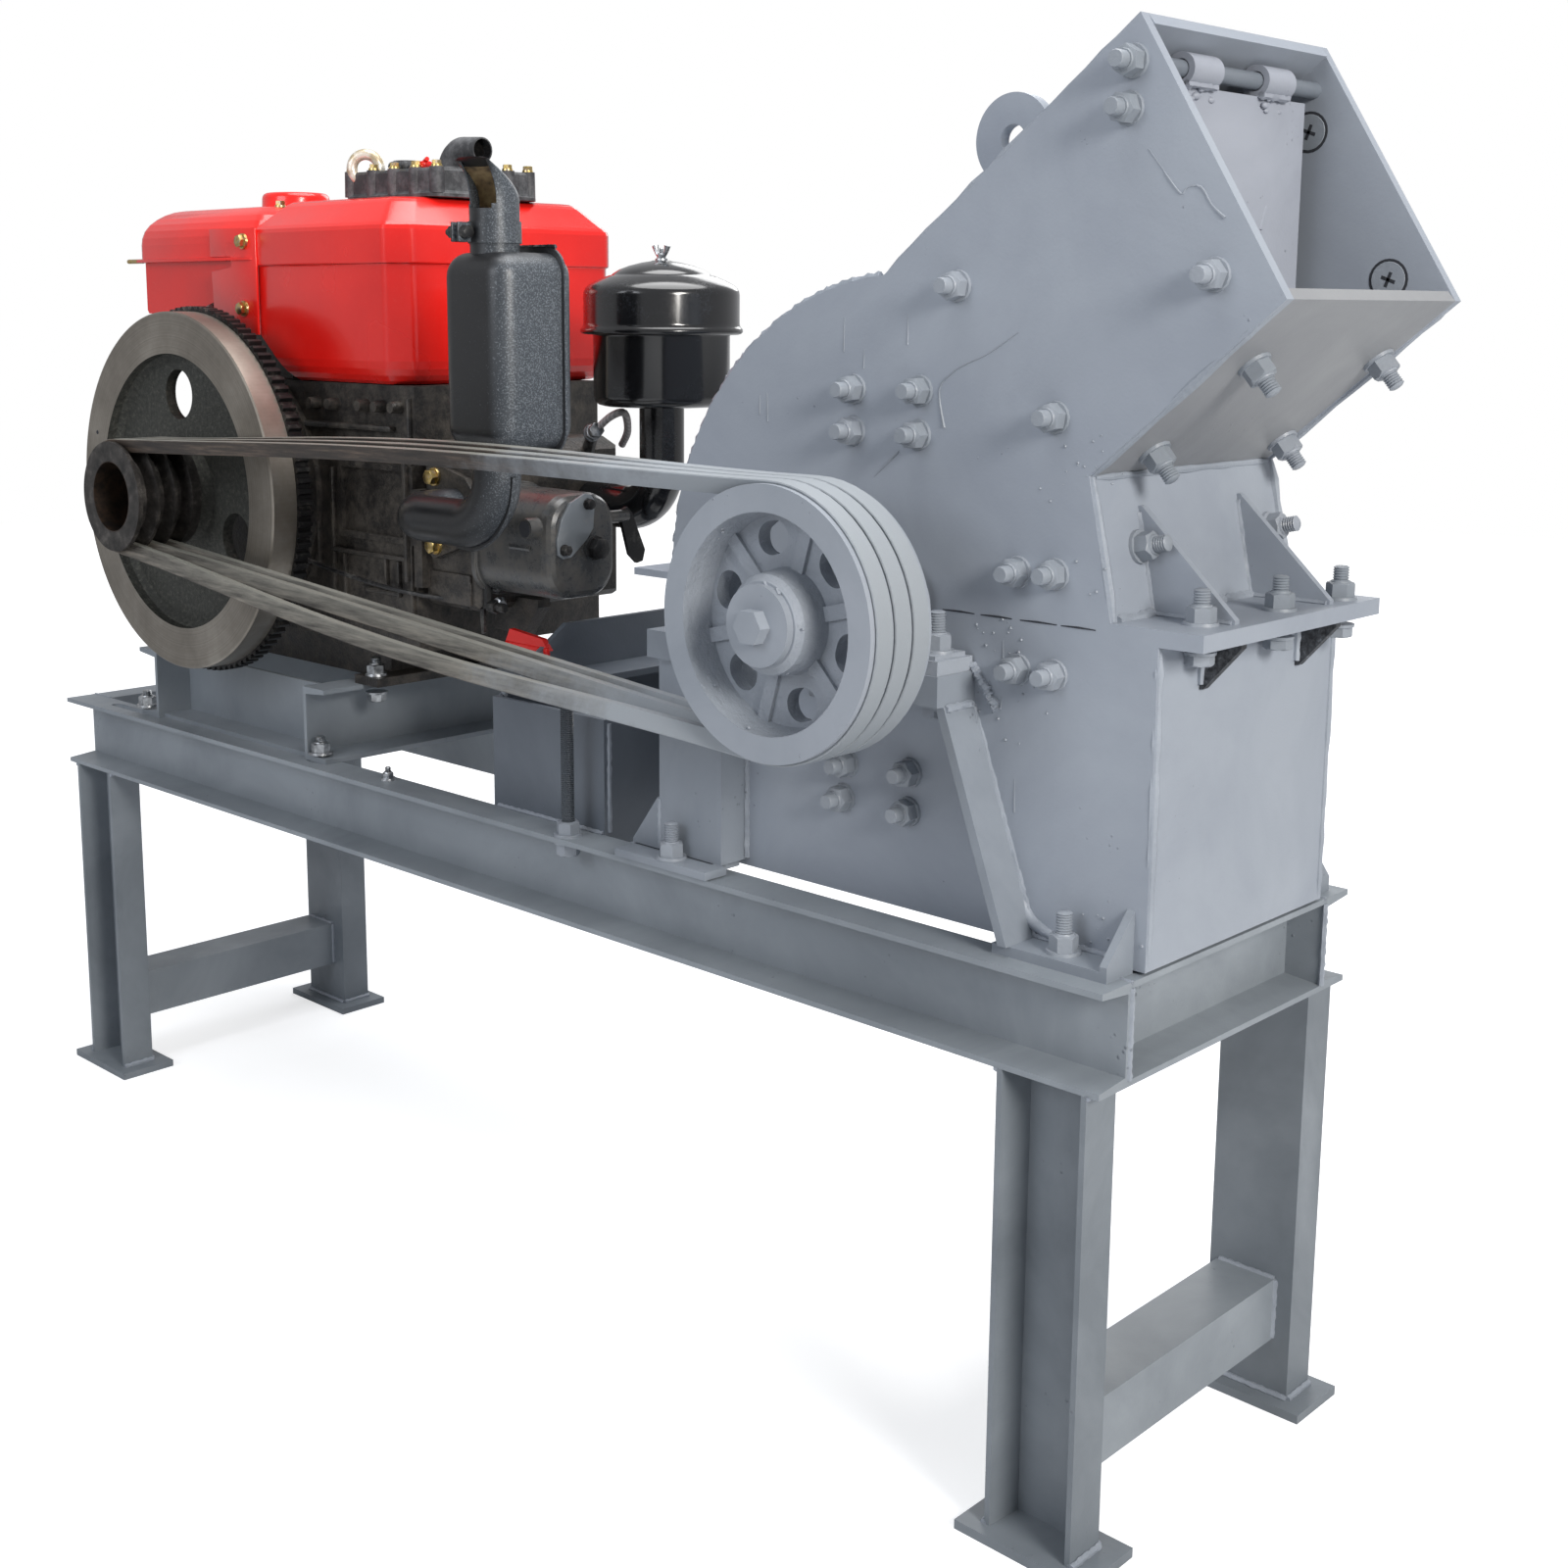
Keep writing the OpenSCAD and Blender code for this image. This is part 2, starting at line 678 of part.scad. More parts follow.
// One pillow block, its bore on the rotor axis: round cap, sloping shoulders, slotted base
module pillow_block() {
    base_h = 18;
    base_end_h = 14;
    base_end = 6;
    cap_r = 46;
    shoulder = 62;
    collar_r = 34;
    collar_t = 4;
    hole_d = 17;
    difference() {
        union() {
            along_y(collar_t - block_w / 2, block_w - 2 * collar_t) {
                circle(r = cap_r);
                polygon([[-shoulder, 2 - block_h], [shoulder, 2 - block_h], [shoulder, base_h - block_h],
                    [cap_r - 3, -10], [3 - cap_r, -10], [-shoulder, base_h - block_h]]);
            }
            along_y(-block_w / 2, block_w) circle(r = collar_r);
            translate([base_end - block_l / 2, collar_t - block_w / 2, -block_h])
                cube([block_l - 2 * base_end, block_w - 2 * collar_t, base_h]);
            translate([-block_l / 2, -block_w / 2, -block_h]) cube([block_l, block_w, base_end_h]);
        }
        along_y(-block_w / 2 - 1, block_w + 2) circle(r = shaft_d / 2 + fit_gap);
        for (side = [-1, 1]) translate([side * (block_l / 2 - 22), 0, -block_h - 1])
            cylinder(d = hole_d, h = base_h + 2);
    }
}

module bearings() {
    out_y = chamber_w / 2 + wall_t + block_w / 2 + 2;
    color([0.5, 0.53, 0.57]) at_rotor() for (side = [-1, 1])
        translate([0, chamber_y + side * out_y, 0]) pillow_block();
}

// Rotor shaft with its keyed end under the pulley
module rotor_shaft() {
    front_end = -pulley_front + 2;
    rear_end = side_rear_y + wall_t + 62;
    color([0.35, 0.36, 0.38]) at_rotor() rotate([-90, 0, 0]) {
        translate([0, 0, front_end]) cylinder(d = shaft_d, h = rear_end - front_end, $fn = 64);
    }
}

function disc_y(i) = side_front_y + wall_t + 20 + disc_t / 2 + i * (chamber_w - 40 - disc_t) / (disc_n - 1);

module rotor_discs() {
    color([0.45, 0.42, 0.4]) at_rotor() for (i = [0 : disc_n - 1])
        translate([0, disc_y(i) - disc_t / 2, 0]) rotate([-90, 0, 0]) difference() {
            cylinder(r = disc_r, h = disc_t);
            translate([0, 0, -1]) cylinder(r = shaft_d / 2 + fit_gap, h = disc_t + 2);
            for (k = [0 : hammer_rows - 1]) rotate([0, 0, 45 + k * 360 / hammer_rows])
                translate([hammer_pin_r, 0, -1]) cylinder(r = hammer_pin_d / 2 + fit_gap, h = disc_t + 2);
        }
}

// Rows of swing hammers on their pins, thrown outwards
module hammers() {
    pin_end = 6;
    pin_y = disc_y(0) - disc_t / 2 - pin_end;
    pin_l = disc_y(disc_n - 1) - disc_y(0) + disc_t + 2 * pin_end;
    color([0.42, 0.38, 0.35]) at_rotor() for (k = [0 : hammer_rows - 1])
        rotate([0, 45 + k * 360 / hammer_rows, 0]) {
            translate([hammer_pin_r, pin_y, 0]) rotate([-90, 0, 0]) cylinder(d = hammer_pin_d, h = pin_l);
            for (i = [0 : disc_n - 2]) {
                mid = (disc_y(i) + disc_y(i + 1)) / 2;
                translate([hammer_pin_r, mid - hammer_t / 2, 0]) rotate([-90, 0, 0])
                    cylinder(d = hammer_w, h = hammer_t);
                translate([hammer_pin_r, mid - hammer_t / 2, -hammer_w / 2])
                    cube([hammer_tip_r - hammer_pin_r - 3, hammer_t, hammer_w]);
            }
        }
}

function groove_y(i) = -pulley_front + belt_edge + i * belt_pitch;

// Half width of a groove at a height above the groove's bottom
function groove_half(r, rim_r) = belt_top_w / 2 + belt_gap / cos(belt_half_angle)
    - (rim_r + belt_proud - r) * tan(belt_half_angle);

// Outline of a grooved rim as [radius, y]
module grooved_rim(rim_r, inner_r) {
    bottom_r = rim_r - groove_depth;
    difference() {
        translate([inner_r, -pulley_front]) square([rim_r - inner_r, pulley_w]);
        for (i = [0 : belt_n - 1]) polygon([
            [rim_r + 1, groove_y(i) - groove_half(rim_r + 1, rim_r)],
            [bottom_r, groove_y(i) - groove_half(bottom_r, rim_r)],
            [bottom_r, groove_y(i) + groove_half(bottom_r, rim_r)],
            [rim_r + 1, groove_y(i) + groove_half(rim_r + 1, rim_r)]]);
    }
}

// Cast pulley: deep rim, thin web with oval windows between raised ribs, round-nosed hub
module driven_pulley() {
    rim_r = driven_d / 2;
    inner_r = rim_r - rim_t;
    hub_r = 47;
    hub_nose = 6;
    web_t = 16;
    web_y = -pulley_front + pulley_w / 2 - web_t / 2;
    window_r = 16;
    window_long = 6;
    window_at = 79;
    window_turn = 16;
    rib_h = 4;
    rib_w = 14;
    draft = 4;
    step = 360 / spoke_n;
    color([0.6, 0.64, 0.68]) at_rotor() {
        translate([0, -plant_front, 0]) rotate([-90, 0, 0]) {
            cylinder(d = 30 / cos(30), h = bolt_head_h, $fn = 6);
            translate([0, 0, bolt_head_h]) cylinder(d = 77, h = washer_t);
        }
        difference() {
            union() {
                about_y() grooved_rim(rim_r, inner_r);
                about_y() polygon([[inner_r - draft, web_y], [inner_r + 1, -pulley_front + 6],
                    [inner_r + 1, -pulley_front + pulley_w - 6], [inner_r - draft, web_y + web_t]]);
                about_y() polygon([[20, -pulley_front], [hub_r - hub_nose, -pulley_front],
                    [hub_r, -pulley_front + hub_nose], [hub_r + draft, web_y], [inner_r, web_y],
                    [inner_r, web_y + web_t], [hub_r + draft, web_y + web_t],
                    [hub_r, -pulley_front + pulley_w], [20, -pulley_front + pulley_w]]);
                for (i = [0 : spoke_n - 1]) rotate([0, window_turn + (i + 0.5) * step, 0])
                    translate([hub_r, web_y - rib_h, -rib_w / 2])
                        cube([inner_r - hub_r, rib_h + 1, rib_w]);
            }
            translate([0, -pulley_front + 2, 0]) rotate([-90, 0, 0])
                cylinder(r = shaft_d / 2 + fit_gap, h = pulley_w + 2);
            for (i = [0 : spoke_n - 1]) rotate([0, window_turn + i * step, 0])
                translate([window_at, web_y - 1, 0]) {
                    for (end = [-1, 1]) translate([0, 0, end * window_long / 2]) rotate([-90, 0, 0])
                        cylinder(r = window_r, h = web_t + 2);
                    translate([-window_r, 0, -window_long / 2]) cube([2 * window_r, web_t + 2, window_long]);
                }
        }
    }
}

// Grooved sleeve bolted to the flywheel through its base flange
module engine_pulley() {
    rim_r = drive_d / 2;
    sleeve_r = 46;
    base_y = -pulley_front + pulley_w;
    color([0.2, 0.2, 0.2]) at_crank() {
        about_y() grooved_rim(rim_r, sleeve_r);
        about_y() translate([sleeve_r - 20, base_y]) square([46, pulley_front - pulley_w - flywheel_front]);
    }
}

// Crankshaft end between the crankcase and the flywheel
module crankshaft() {
    color([0.3, 0.3, 0.3]) at_crank() translate([0, -flywheel_front + 10, 0]) rotate([-90, 0, 0])
        cylinder(d = crank_d, h = flywheel_front - 10 - crankcase_front + 30);
}

// Heavy rim round a thinner web with three windows; machined rim, rough web
module flywheel() {
    web_t = 15;
    web_y = -flywheel_front + 21;
    back_y = -flywheel_front + flywheel_w;
    hub_r = 60;
    hub_end = back_y + ring_gear_w;
    window_r = 34;
    window_at = 132;
    fillet = 8;
    color([0.35, 0.33, 0.32]) at_crank() difference() {
        about_y() polygon([[20, -flywheel_front], [hub_r, -flywheel_front], [hub_r + fillet, web_y],
            [recess_r - fillet, web_y], [recess_r, web_y - fillet], [recess_r, -flywheel_front],
            [flywheel_r - 2, -flywheel_front], [flywheel_r, -flywheel_front + 2],
            [flywheel_r, back_y], [ring_seat_r, back_y], [ring_seat_r, hub_end],
            [recess_r, hub_end], [recess_r, web_y + web_t + fillet], [recess_r - fillet, web_y + web_t],
            [hub_r, web_y + web_t], [hub_r, hub_end], [20, hub_end]]);
        translate([0, -flywheel_front + 9, 0]) rotate([-90, 0, 0])
            cylinder(r = crank_d / 2 + fit_gap, h = flywheel_w + ring_gear_w);
        for (i = [0 : 2]) rotate([0, -95 + i * 120, 0]) translate([window_at, web_y - 1, 0])
            rotate([-90, 0, 0]) cylinder(r = window_r, h = web_t + 2);
    }
}

// Starter ring shrunk on behind the rim; its teeth follow one tooth pitch all round
module starter_ring() {
    root_r = ring_gear_r - 5;
    pitch_a = 360 / ring_gear_n;
    function rim(r, a) = [r * cos(a), r * sin(a)];
    ring_y = -flywheel_front + flywheel_w + seat_gap;
    color([0.14, 0.14, 0.14]) at_crank() along_y(ring_y, ring_gear_w - seat_gap)
        difference() {
            polygon([for (i = [0 : ring_gear_n - 1]) for (k = [[-0.34, root_r], [-0.17, ring_gear_r],
                [0.17, ring_gear_r], [0.34, root_r]]) rim(k[1], (i + k[0]) * pitch_a)]);
            circle(r = ring_seat_r + fit_gap);
        }
}

// Centre distance and wrap angles of the belts
belt_dx = rotor_x + crank_x;
belt_dz = rotor_h - crank_h;
belt_c = sqrt(belt_dx * belt_dx + belt_dz * belt_dz);
belt_tilt = atan2(belt_dz, belt_dx);
belt_open = asin((driven_d - drive_d) / 2 / belt_c);
belt_run = belt_c * cos(belt_open);

// Section of a belt as [height above the pulley rim, y]
module belt_section() {
    polygon([[belt_proud, -belt_top_w / 2], [belt_proud, belt_top_w / 2],
        [belt_proud - belt_h, belt_low_w / 2], [belt_proud - belt_h, -belt_low_w / 2]]);
}

// One belt, drawn with the line of centres along +X from the engine pulley
module belt() {
    rotate([-90, 0, 0]) {
        // wrap round the engine pulley and round the driven pulley
        rotate([0, 0, 90 + belt_open]) rotate_extrude(angle = 180 - 2 * belt_open)
            translate([drive_d / 2, 0]) belt_section();
        translate([belt_c, 0, 0]) rotate([0, 0, -90 - belt_open]) rotate_extrude(angle = 180 + 2 * belt_open)
            translate([driven_d / 2, 0]) belt_section();
    }
    for (side = [-1, 1]) rotate([0, -side * belt_open, 0])
        translate([0, 0, side * drive_d / 2]) rotate([90, 0, 90]) linear_extrude(height = belt_run)
            rotate(side * 90) mirror([0, 1]) belt_section();
}

module drive_belts() {
    color([0.2, 0.2, 0.19]) at_crank() rotate([0, -belt_tilt, 0]) for (i = [0 : belt_n - 1])
        translate([0, groove_y(i), 0]) belt();
}

// Box with all its edges bevelled, each bevel cut along one of its three outlines
module bevelled_box(size, side_c, top_c, bottom_c) {
    intersection() {
        linear_extrude(height = size[2]) polygon([[side_c, 0], [size[0] - side_c, 0], [size[0], side_c],
            [size[0], size[1] - side_c], [size[0] - side_c, size[1]], [side_c, size[1]],
            [0, size[1] - side_c], [0, side_c]]);
        along_y(0, size[1]) end_outline(size[0], size[2], top_c, bottom_c);
        rotate([90, 0, 90]) linear_extrude(height = size[0])
            end_outline(size[1], size[2], top_c, bottom_c);
    }
}

module end_outline(w, h, top_c, bottom_c) {
    polygon([[bottom_c, 0], [w - bottom_c, 0], [w, bottom_c], [w, h - top_c], [w - top_c, h],
        [top_c, h], [0, h - top_c], [0, bottom_c]]);
}

// Rectangle with round corners, its lower left corner at the origin
module rounded_plate(w, h, r) {
    translate([r, 0]) square([w - 2 * r, h]);
    translate([0, r]) square([w, h - 2 * r]);
    for (x = [r, w - r], y = [r, h - r]) translate([x, y]) circle(r = r);
}

// Pressed shell: its edges are rounded along its plan, its front and its side outline
module rounded_shell(size, r) {
    intersection() {
        linear_extrude(height = size[2]) rounded_plate(size[0], size[1], r);
        along_y(0, size[1]) rounded_plate(size[0], size[2], r);
        rotate([90, 0, 90]) linear_extrude(height = size[0]) rounded_plate(size[1], size[2], r);
    }
}

// A quarter bend from the origin: it starts along +X and turns towards +Z
module quarter_bend() {
    translate([0, 0, pipe_bend]) rotate([90, 0, 0]) rotate([0, 0, -90])
        rotate_extrude(angle = 90) translate([pipe_bend, 0]) circle(d = pipe_d);
}

// Sweeps a section round a quarter circle: it starts along +Z and turns towards +X
module bent(bend_r) {
    translate([bend_r, 0, 0]) rotate([90, 0, 0]) rotate([0, 0, 90])
        rotate_extrude(angle = 90) translate([bend_r, 0]) children();
}

module pipe_ring(d, t) {
    difference() {
        circle(d = d, $fn = 64);
        circle(d = d - 2 * t, $fn = 64);
    }
}

module engine_iron() {
    color([0.15, 0.15, 0.16]) children();
}

module engine_sheet() {
    color([0.12, 0.12, 0.13]) children();
}

module red_enamel() {
    color([0.8, 0.15, 0.12]) children();
}

// Crankcase casting on its sump, with a round bearing cover, a raised frame and foot lugs
module engine_block() {
    block_top = hood_rise - seat_gap;
    tank_seat = tank_rise - seat_gap;
    base_drop = crank_h - channel_h;
    corner = 50;
    cover_t = 8;
    frame_t = 6;
    frame_w = 8;
    frame_l = 164;
    frame_h = 101;
    lug_l = 51;
    lug_t = 12;
    lug_y = 143;
    engine_iron() at_crank() difference() {
        union() {
            along_y(-crankcase_front, case_w) polygon([[-case_left, corner - case_drop],
                [corner - case_left, -case_drop], [case_right, -case_drop],
                [case_right, block_top], [-case_left, block_top]]);
            translate([-case_left, -95, -base_drop]) cube([405, 200, base_drop - case_drop + 1]);
            for (u = [-case_left - 45, case_right - 142]) translate([u, -lug_y, -base_drop])
                cube([lug_l, 2 * lug_y, lug_t]);
            translate([-case_left, -100, block_top - 1]) cube([200, 240, tank_seat - block_top + 1]);
            along_y(-crankcase_front - cover_t, cover_t + 1) intersection() {
                circle(r = cover_r);
                translate([-cover_r, -cover_r]) square([2 * cover_r, cover_r + block_top - 8]);
            }
            along_y(-crankcase_front - frame_t, frame_t + 1)
                translate([case_right - frame_l, -frame_h / 2]) difference() {
                    square([frame_l, frame_h]);
                    translate([frame_w, frame_w]) square([frame_l - 2 * frame_w, frame_h - 2 * frame_w]);
                }
        }
        translate([0, -crankcase_front - cover_t - 1, 0]) rotate([-90, 0, 0])
            cylinder(r = crank_d / 2 + fit_gap, h = 40);
    }
}

// Head casting with its joint flange and the slanting foot under the rocker cover
module cylinder_head() {
    joint_l = 17;
    joint_y = 146;
    joint_h = 125;
    head_drop = 126;
    support_t = 20;
    left = case_right + seat_gap;
    right = left + head_l;
    engine_iron() at_crank() {
        translate([left, -130, -head_drop]) bevelled_box([head_l, head_w, head_h], 8, 16, 8);
        translate([left, -joint_y, 22 - joint_h]) cube([joint_l, 270, joint_h]);
        along_y(-70, support_t) polygon([[right - 42, -head_drop - 31], [right + 13, -head_drop - 35],
            [right + 43, -head_drop + 4], [right + 43, -head_drop + 14], [right - 42, -head_drop + 14]]);
    }
}

// Barrel-shaped rocker cover with a rim at the head and a raised cover plate on its end
module rocker_cover() {
    rim_l = 8;
    rim = 5;
    plate_l = 7;
    inset = 12;
    left = case_right + head_l + 2 * seat_gap;
    engine_iron() at_crank() translate([left, -136, -100]) rotate([90, 0, 90]) {
        linear_extrude(height = rocker_l - plate_l) rounded_plate(rocker_w, rocker_h, rocker_r);
        translate([-rim, -rim, 0]) linear_extrude(height = rim_l)
            rounded_plate(rocker_w + 2 * rim, rocker_h + 2 * rim, rocker_r + rim);
        translate([inset, inset, 0]) linear_extrude(height = rocker_l)
            rounded_plate(rocker_w - 2 * inset, rocker_h - 2 * inset, rocker_r - inset);
    }
}

// Tank with a filler cap; below its lip it is narrower, and arched to clear the flywheel
module fuel_tank() {
    tank_h = hood_top - 3 - tank_rise;
    lip_h = 57;
    lip_t = 4;
    inset = 6;
    arch_r = ring_gear_r + 12;
    cap_d = 96;
    cap_h = 26;
    left = hood_left - tank_l - seat_gap;
    red_enamel() at_crank() difference() {
        union() {
            translate([left, -hood_front, tank_rise + lip_h])
                bevelled_box([tank_l, hood_w, tank_h - lip_h], 12, hood_bevel, 1);
            translate([left + inset, inset - hood_front, tank_rise])
                bevelled_box([tank_l - 2 * inset, hood_w - 2 * inset, lip_h + 10], 12, 4, 4);
            translate([left - 2, -hood_front - 2, tank_rise + lip_h - lip_t])
                cube([tank_l - 60, hood_w + 4, lip_t]);
            translate([-17, -20, hood_top - 4]) {
                cylinder(d = cap_d, h = cap_h - 6);
                translate([0, 0, cap_h - 6]) cylinder(d1 = cap_d, d2 = cap_d - 12, h = 6);
            }
        }
        along_y(-hood_front - 3, 60) circle(r = arch_r);
    }
}

// Pressed hood round the water tank; below its bead line it steps in
module radiator_hood() {
    hood_h = hood_top - hood_rise;
    step = 3;
    red_enamel() at_crank() translate([hood_left, -hood_front, hood_rise]) {
        translate([step, step, 0])
            bevelled_box([hood_l - 2 * step, hood_w - 2 * step, hood_h - 40], 24, 20, 20);
        translate([0, 0, hood_h - bead_depth]) bevelled_box([hood_l, hood_w, bead_depth], 26, hood_bevel, 2);
    }
}

// Cast cover of the water tank with its bent outlet pipe
module radiator_cover() {
    cover_l = 200;
    cover_w = 180;
    cover_h = 41;
    lip_w = 8;
    lip_h = 10;
    outlet_d = 44;
    outlet_t = 4;
    outlet_bend = 28;
    outlet_l = 44;
    engine_iron() at_crank() translate([hood_left + 97, -80, hood_top + seat_gap]) {
        bevelled_box([cover_l, cover_w, lip_h], 14, 2, 1);
        translate([lip_w, lip_w, 0])
            bevelled_box([cover_l - 2 * lip_w, cover_w - 2 * lip_w, cover_h], 12, 8, 1);
        translate([110, 105, cover_h - 4]) {
            bent(outlet_bend) pipe_ring(outlet_d, outlet_t);
            translate([outlet_bend, 0, outlet_bend]) rotate([0, 90, 0])
                linear_extrude(height = outlet_l) pipe_ring(outlet_d, outlet_t);
        }
    }
}

// Pressed muffler: two shells joined at a seam flange
module muffler() {
    shell_back = 26;
    seam_t = 3;
    seam_w = 7;
    seam_y = muffler_t / 2 - muffler_front;
    left = muffler_u - muffler_w / 2;
    engine_sheet() at_crank() {
        translate([left, seam_y - muffler_t, muffler_rise])
            rounded_shell([muffler_w, muffler_t + shell_back, muffler_h], muffler_r);
        translate([left - seam_w, seam_y + seam_t, muffler_rise - seam_w]) rotate([90, 0, 0])
            linear_extrude(height = seam_t)
                rounded_plate(muffler_w + 2 * seam_w, muffler_h + 2 * seam_w, muffler_r + seam_w);
    }
}

// Open tail pipe on the muffler, bent over to the front so that rain stays out
module tail_pipe() {
    tube_t = 2.5;
    tail_d = pipe_d + 1;
    tail_u = muffler_u - 12;
    tail_h = 36;
    tail_bend = 30;
    engine_sheet() at_crank()
        translate([tail_u, -muffler_front, muffler_rise + muffler_h + seat_gap]) {
            linear_extrude(height = tail_h) pipe_ring(tail_d, tube_t);
            translate([0, 0, tail_h]) rotate([0, 0, -90]) bent(tail_bend) pipe_ring(tail_d, tube_t);
        }
}

// Exhaust pipe from the side of the head round to the muffler's underside
module exhaust_elbow() {
    head_face = 130;
    engine_sheet() at_crank() {
        translate([port_u + pipe_bend, pipe_bend - muffler_front, 0]) rotate([0, 0, 180])
            rotate_extrude(angle = 90) translate([pipe_bend, 0]) circle(d = pipe_d);
        translate([port_u, pipe_bend - muffler_front, 0]) rotate([-90, 0, 0])
            cylinder(d = pipe_d, h = muffler_front - pipe_bend - head_face - seat_gap);
        translate([port_u + pipe_bend, -muffler_front, 0]) rotate([0, 90, 0])
            cylinder(d = pipe_d, h = riser_u - port_u - 2 * pipe_bend);
        translate([riser_u - pipe_bend, -muffler_front, 0]) quarter_bend();
        translate([riser_u, -muffler_front, pipe_bend])
            cylinder(d = pipe_d, h = muffler_rise - seat_gap - pipe_bend);
    }
}

// Oil-bath air filter: bowl with a rounded foot, wider lid with a rolled rim and a domed top
module air_filter() {
    bowl_r = filter_d / 2;
    lid_r = filter_lid_d / 2;
    foot_c = 12;
    rim_h = 7;
    engine_sheet() at_crank() translate([filter_u, filter_back, filter_rise]) rotate_extrude()
        polygon([[0, 0], [bowl_r - foot_c, 0], [bowl_r, foot_c], [bowl_r, bowl_h - 2],
            [lid_r - 2, bowl_h - 2], [lid_r + 2, bowl_h + 1], [lid_r + 2, bowl_h + rim_h],
            [lid_r - 1, bowl_h + rim_h + 3],
            [lid_r - 1, bowl_h + lid_h - 8], [lid_r - 9, bowl_h + lid_h], [62, bowl_h + lid_h + 6],
            [56, bowl_h + lid_h + 12], [14, bowl_h + lid_h + 19], [0, bowl_h + lid_h + 20]]);
}

// Intake pipe from the air filter down to the head
module intake_pipe() {
    intake_drop = 1;
    port = case_right + head_l + 2 * seat_gap;
    engine_sheet() at_crank() translate([0, filter_back, -intake_drop]) {
        translate([port, 0, 0]) rotate([0, 90, 0]) cylinder(d = pipe_d, h = filter_u - pipe_bend - port);
        translate([filter_u - pipe_bend, 0, 0]) quarter_bend();
        translate([filter_u, 0, pipe_bend])
            cylinder(d = pipe_d, h = filter_rise + intake_drop - seat_gap - pipe_bend);
    }
}

table_beam_front();
table_beam_rear();
table_crossbeams();
leg_front_left();
leg_front_right();
leg_rear_left();
leg_rear_right();
leg_braces();
engine_beams();
engine_rails();
centre_box();
tension_stud();
base_side_front();
base_side_rear();
base_ends();
split_flanges();
top_side_front();
top_side_rear();
top_shell();
chute_floor();
top_end_wall();
lifting_lug();
flap_rod();
grate();
bearing_support_front();
bearing_support_rear();
bearings();
drive_belts();
engine_block();
cylinder_head();
rocker_cover();
fuel_tank();
radiator_hood();
radiator_cover();
muffler();
tail_pipe();
exhaust_elbow();
air_filter();
intake_pipe();
rotor_shaft();
rotor_discs();
hammers();
driven_pulley();
flywheel();
starter_ring();
engine_pulley();
crankshaft();
feed_flap();
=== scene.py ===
"""Looks of a hammer crusher that a diesel engine drives, both on one channel-steel table."""

import math
import random
from functools import partial

import bmesh
import bpy
from mathutils import Matrix, Vector


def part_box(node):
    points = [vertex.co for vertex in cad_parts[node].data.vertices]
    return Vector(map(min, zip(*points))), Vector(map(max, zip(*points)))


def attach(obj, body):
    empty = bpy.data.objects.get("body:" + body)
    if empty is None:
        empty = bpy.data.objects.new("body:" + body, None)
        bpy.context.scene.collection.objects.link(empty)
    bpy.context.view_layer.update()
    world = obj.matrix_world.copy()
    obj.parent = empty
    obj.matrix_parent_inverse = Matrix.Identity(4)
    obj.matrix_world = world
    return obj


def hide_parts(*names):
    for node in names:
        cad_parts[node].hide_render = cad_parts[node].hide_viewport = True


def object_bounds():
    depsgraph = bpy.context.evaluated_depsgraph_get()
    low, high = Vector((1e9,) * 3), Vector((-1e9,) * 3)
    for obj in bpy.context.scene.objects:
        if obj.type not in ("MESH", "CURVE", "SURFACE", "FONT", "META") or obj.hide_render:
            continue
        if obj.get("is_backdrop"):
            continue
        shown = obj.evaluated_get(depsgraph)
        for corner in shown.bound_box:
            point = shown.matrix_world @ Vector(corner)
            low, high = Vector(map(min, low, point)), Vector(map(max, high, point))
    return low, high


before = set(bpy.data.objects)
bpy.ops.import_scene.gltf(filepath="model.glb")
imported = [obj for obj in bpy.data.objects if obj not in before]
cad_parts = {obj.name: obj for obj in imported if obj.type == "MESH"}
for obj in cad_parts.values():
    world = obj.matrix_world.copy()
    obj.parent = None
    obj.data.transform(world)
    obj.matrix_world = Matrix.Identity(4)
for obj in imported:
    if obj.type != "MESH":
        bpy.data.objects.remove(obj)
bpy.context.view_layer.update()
random.seed(7)

# ---- Camera, light and floor ----
# The camera stands in front of the feed chute at chest height. A studio with
# a pale floor, one large soft key lamp, a weaker fill and a top panel.

front_beam, rear_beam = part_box("table_beam_front"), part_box("table_beam_rear")
table_middle = Vector(((front_beam[0].x + front_beam[1].x) / 2,
        (front_beam[0].y + rear_beam[1].y) / 2, 0))


def at(x, y, z):
    """A point given in mm from the middle of the table on the floor."""
    return table_middle + Vector((x, y, z)) / 1000


camera = bpy.data.objects.new("camera", bpy.data.cameras.new("camera"))
camera.data.sensor_width = 36
camera.data.lens = 45.17
camera.data.shift_x = 0.0296
camera.data.shift_y = -0.0868
camera.matrix_world = (Matrix.Translation(at(1873.81, -1651.16, 1177.43))
                       @ Matrix.Rotation(math.radians(44.08), 4, "Z")
                       @ Matrix.Rotation(math.radians(90 - 9.82), 4, "X")
                       @ Matrix.Rotation(math.radians(0.24), 4, "Z"))
bpy.context.scene.collection.objects.link(camera)
bpy.context.scene.camera = camera
bpy.context.scene.view_settings.view_transform = "Standard"


def linear(hex_colour):
    """The linear colour of an sRGB hex value."""
    parts = [int(hex_colour[i:i + 2], 16) / 255 for i in (0, 2, 4)]
    return [p / 12.92 if p <= 0.04045 else ((p + 0.055) / 1.055) ** 2.4 for p in parts] + [1.0]


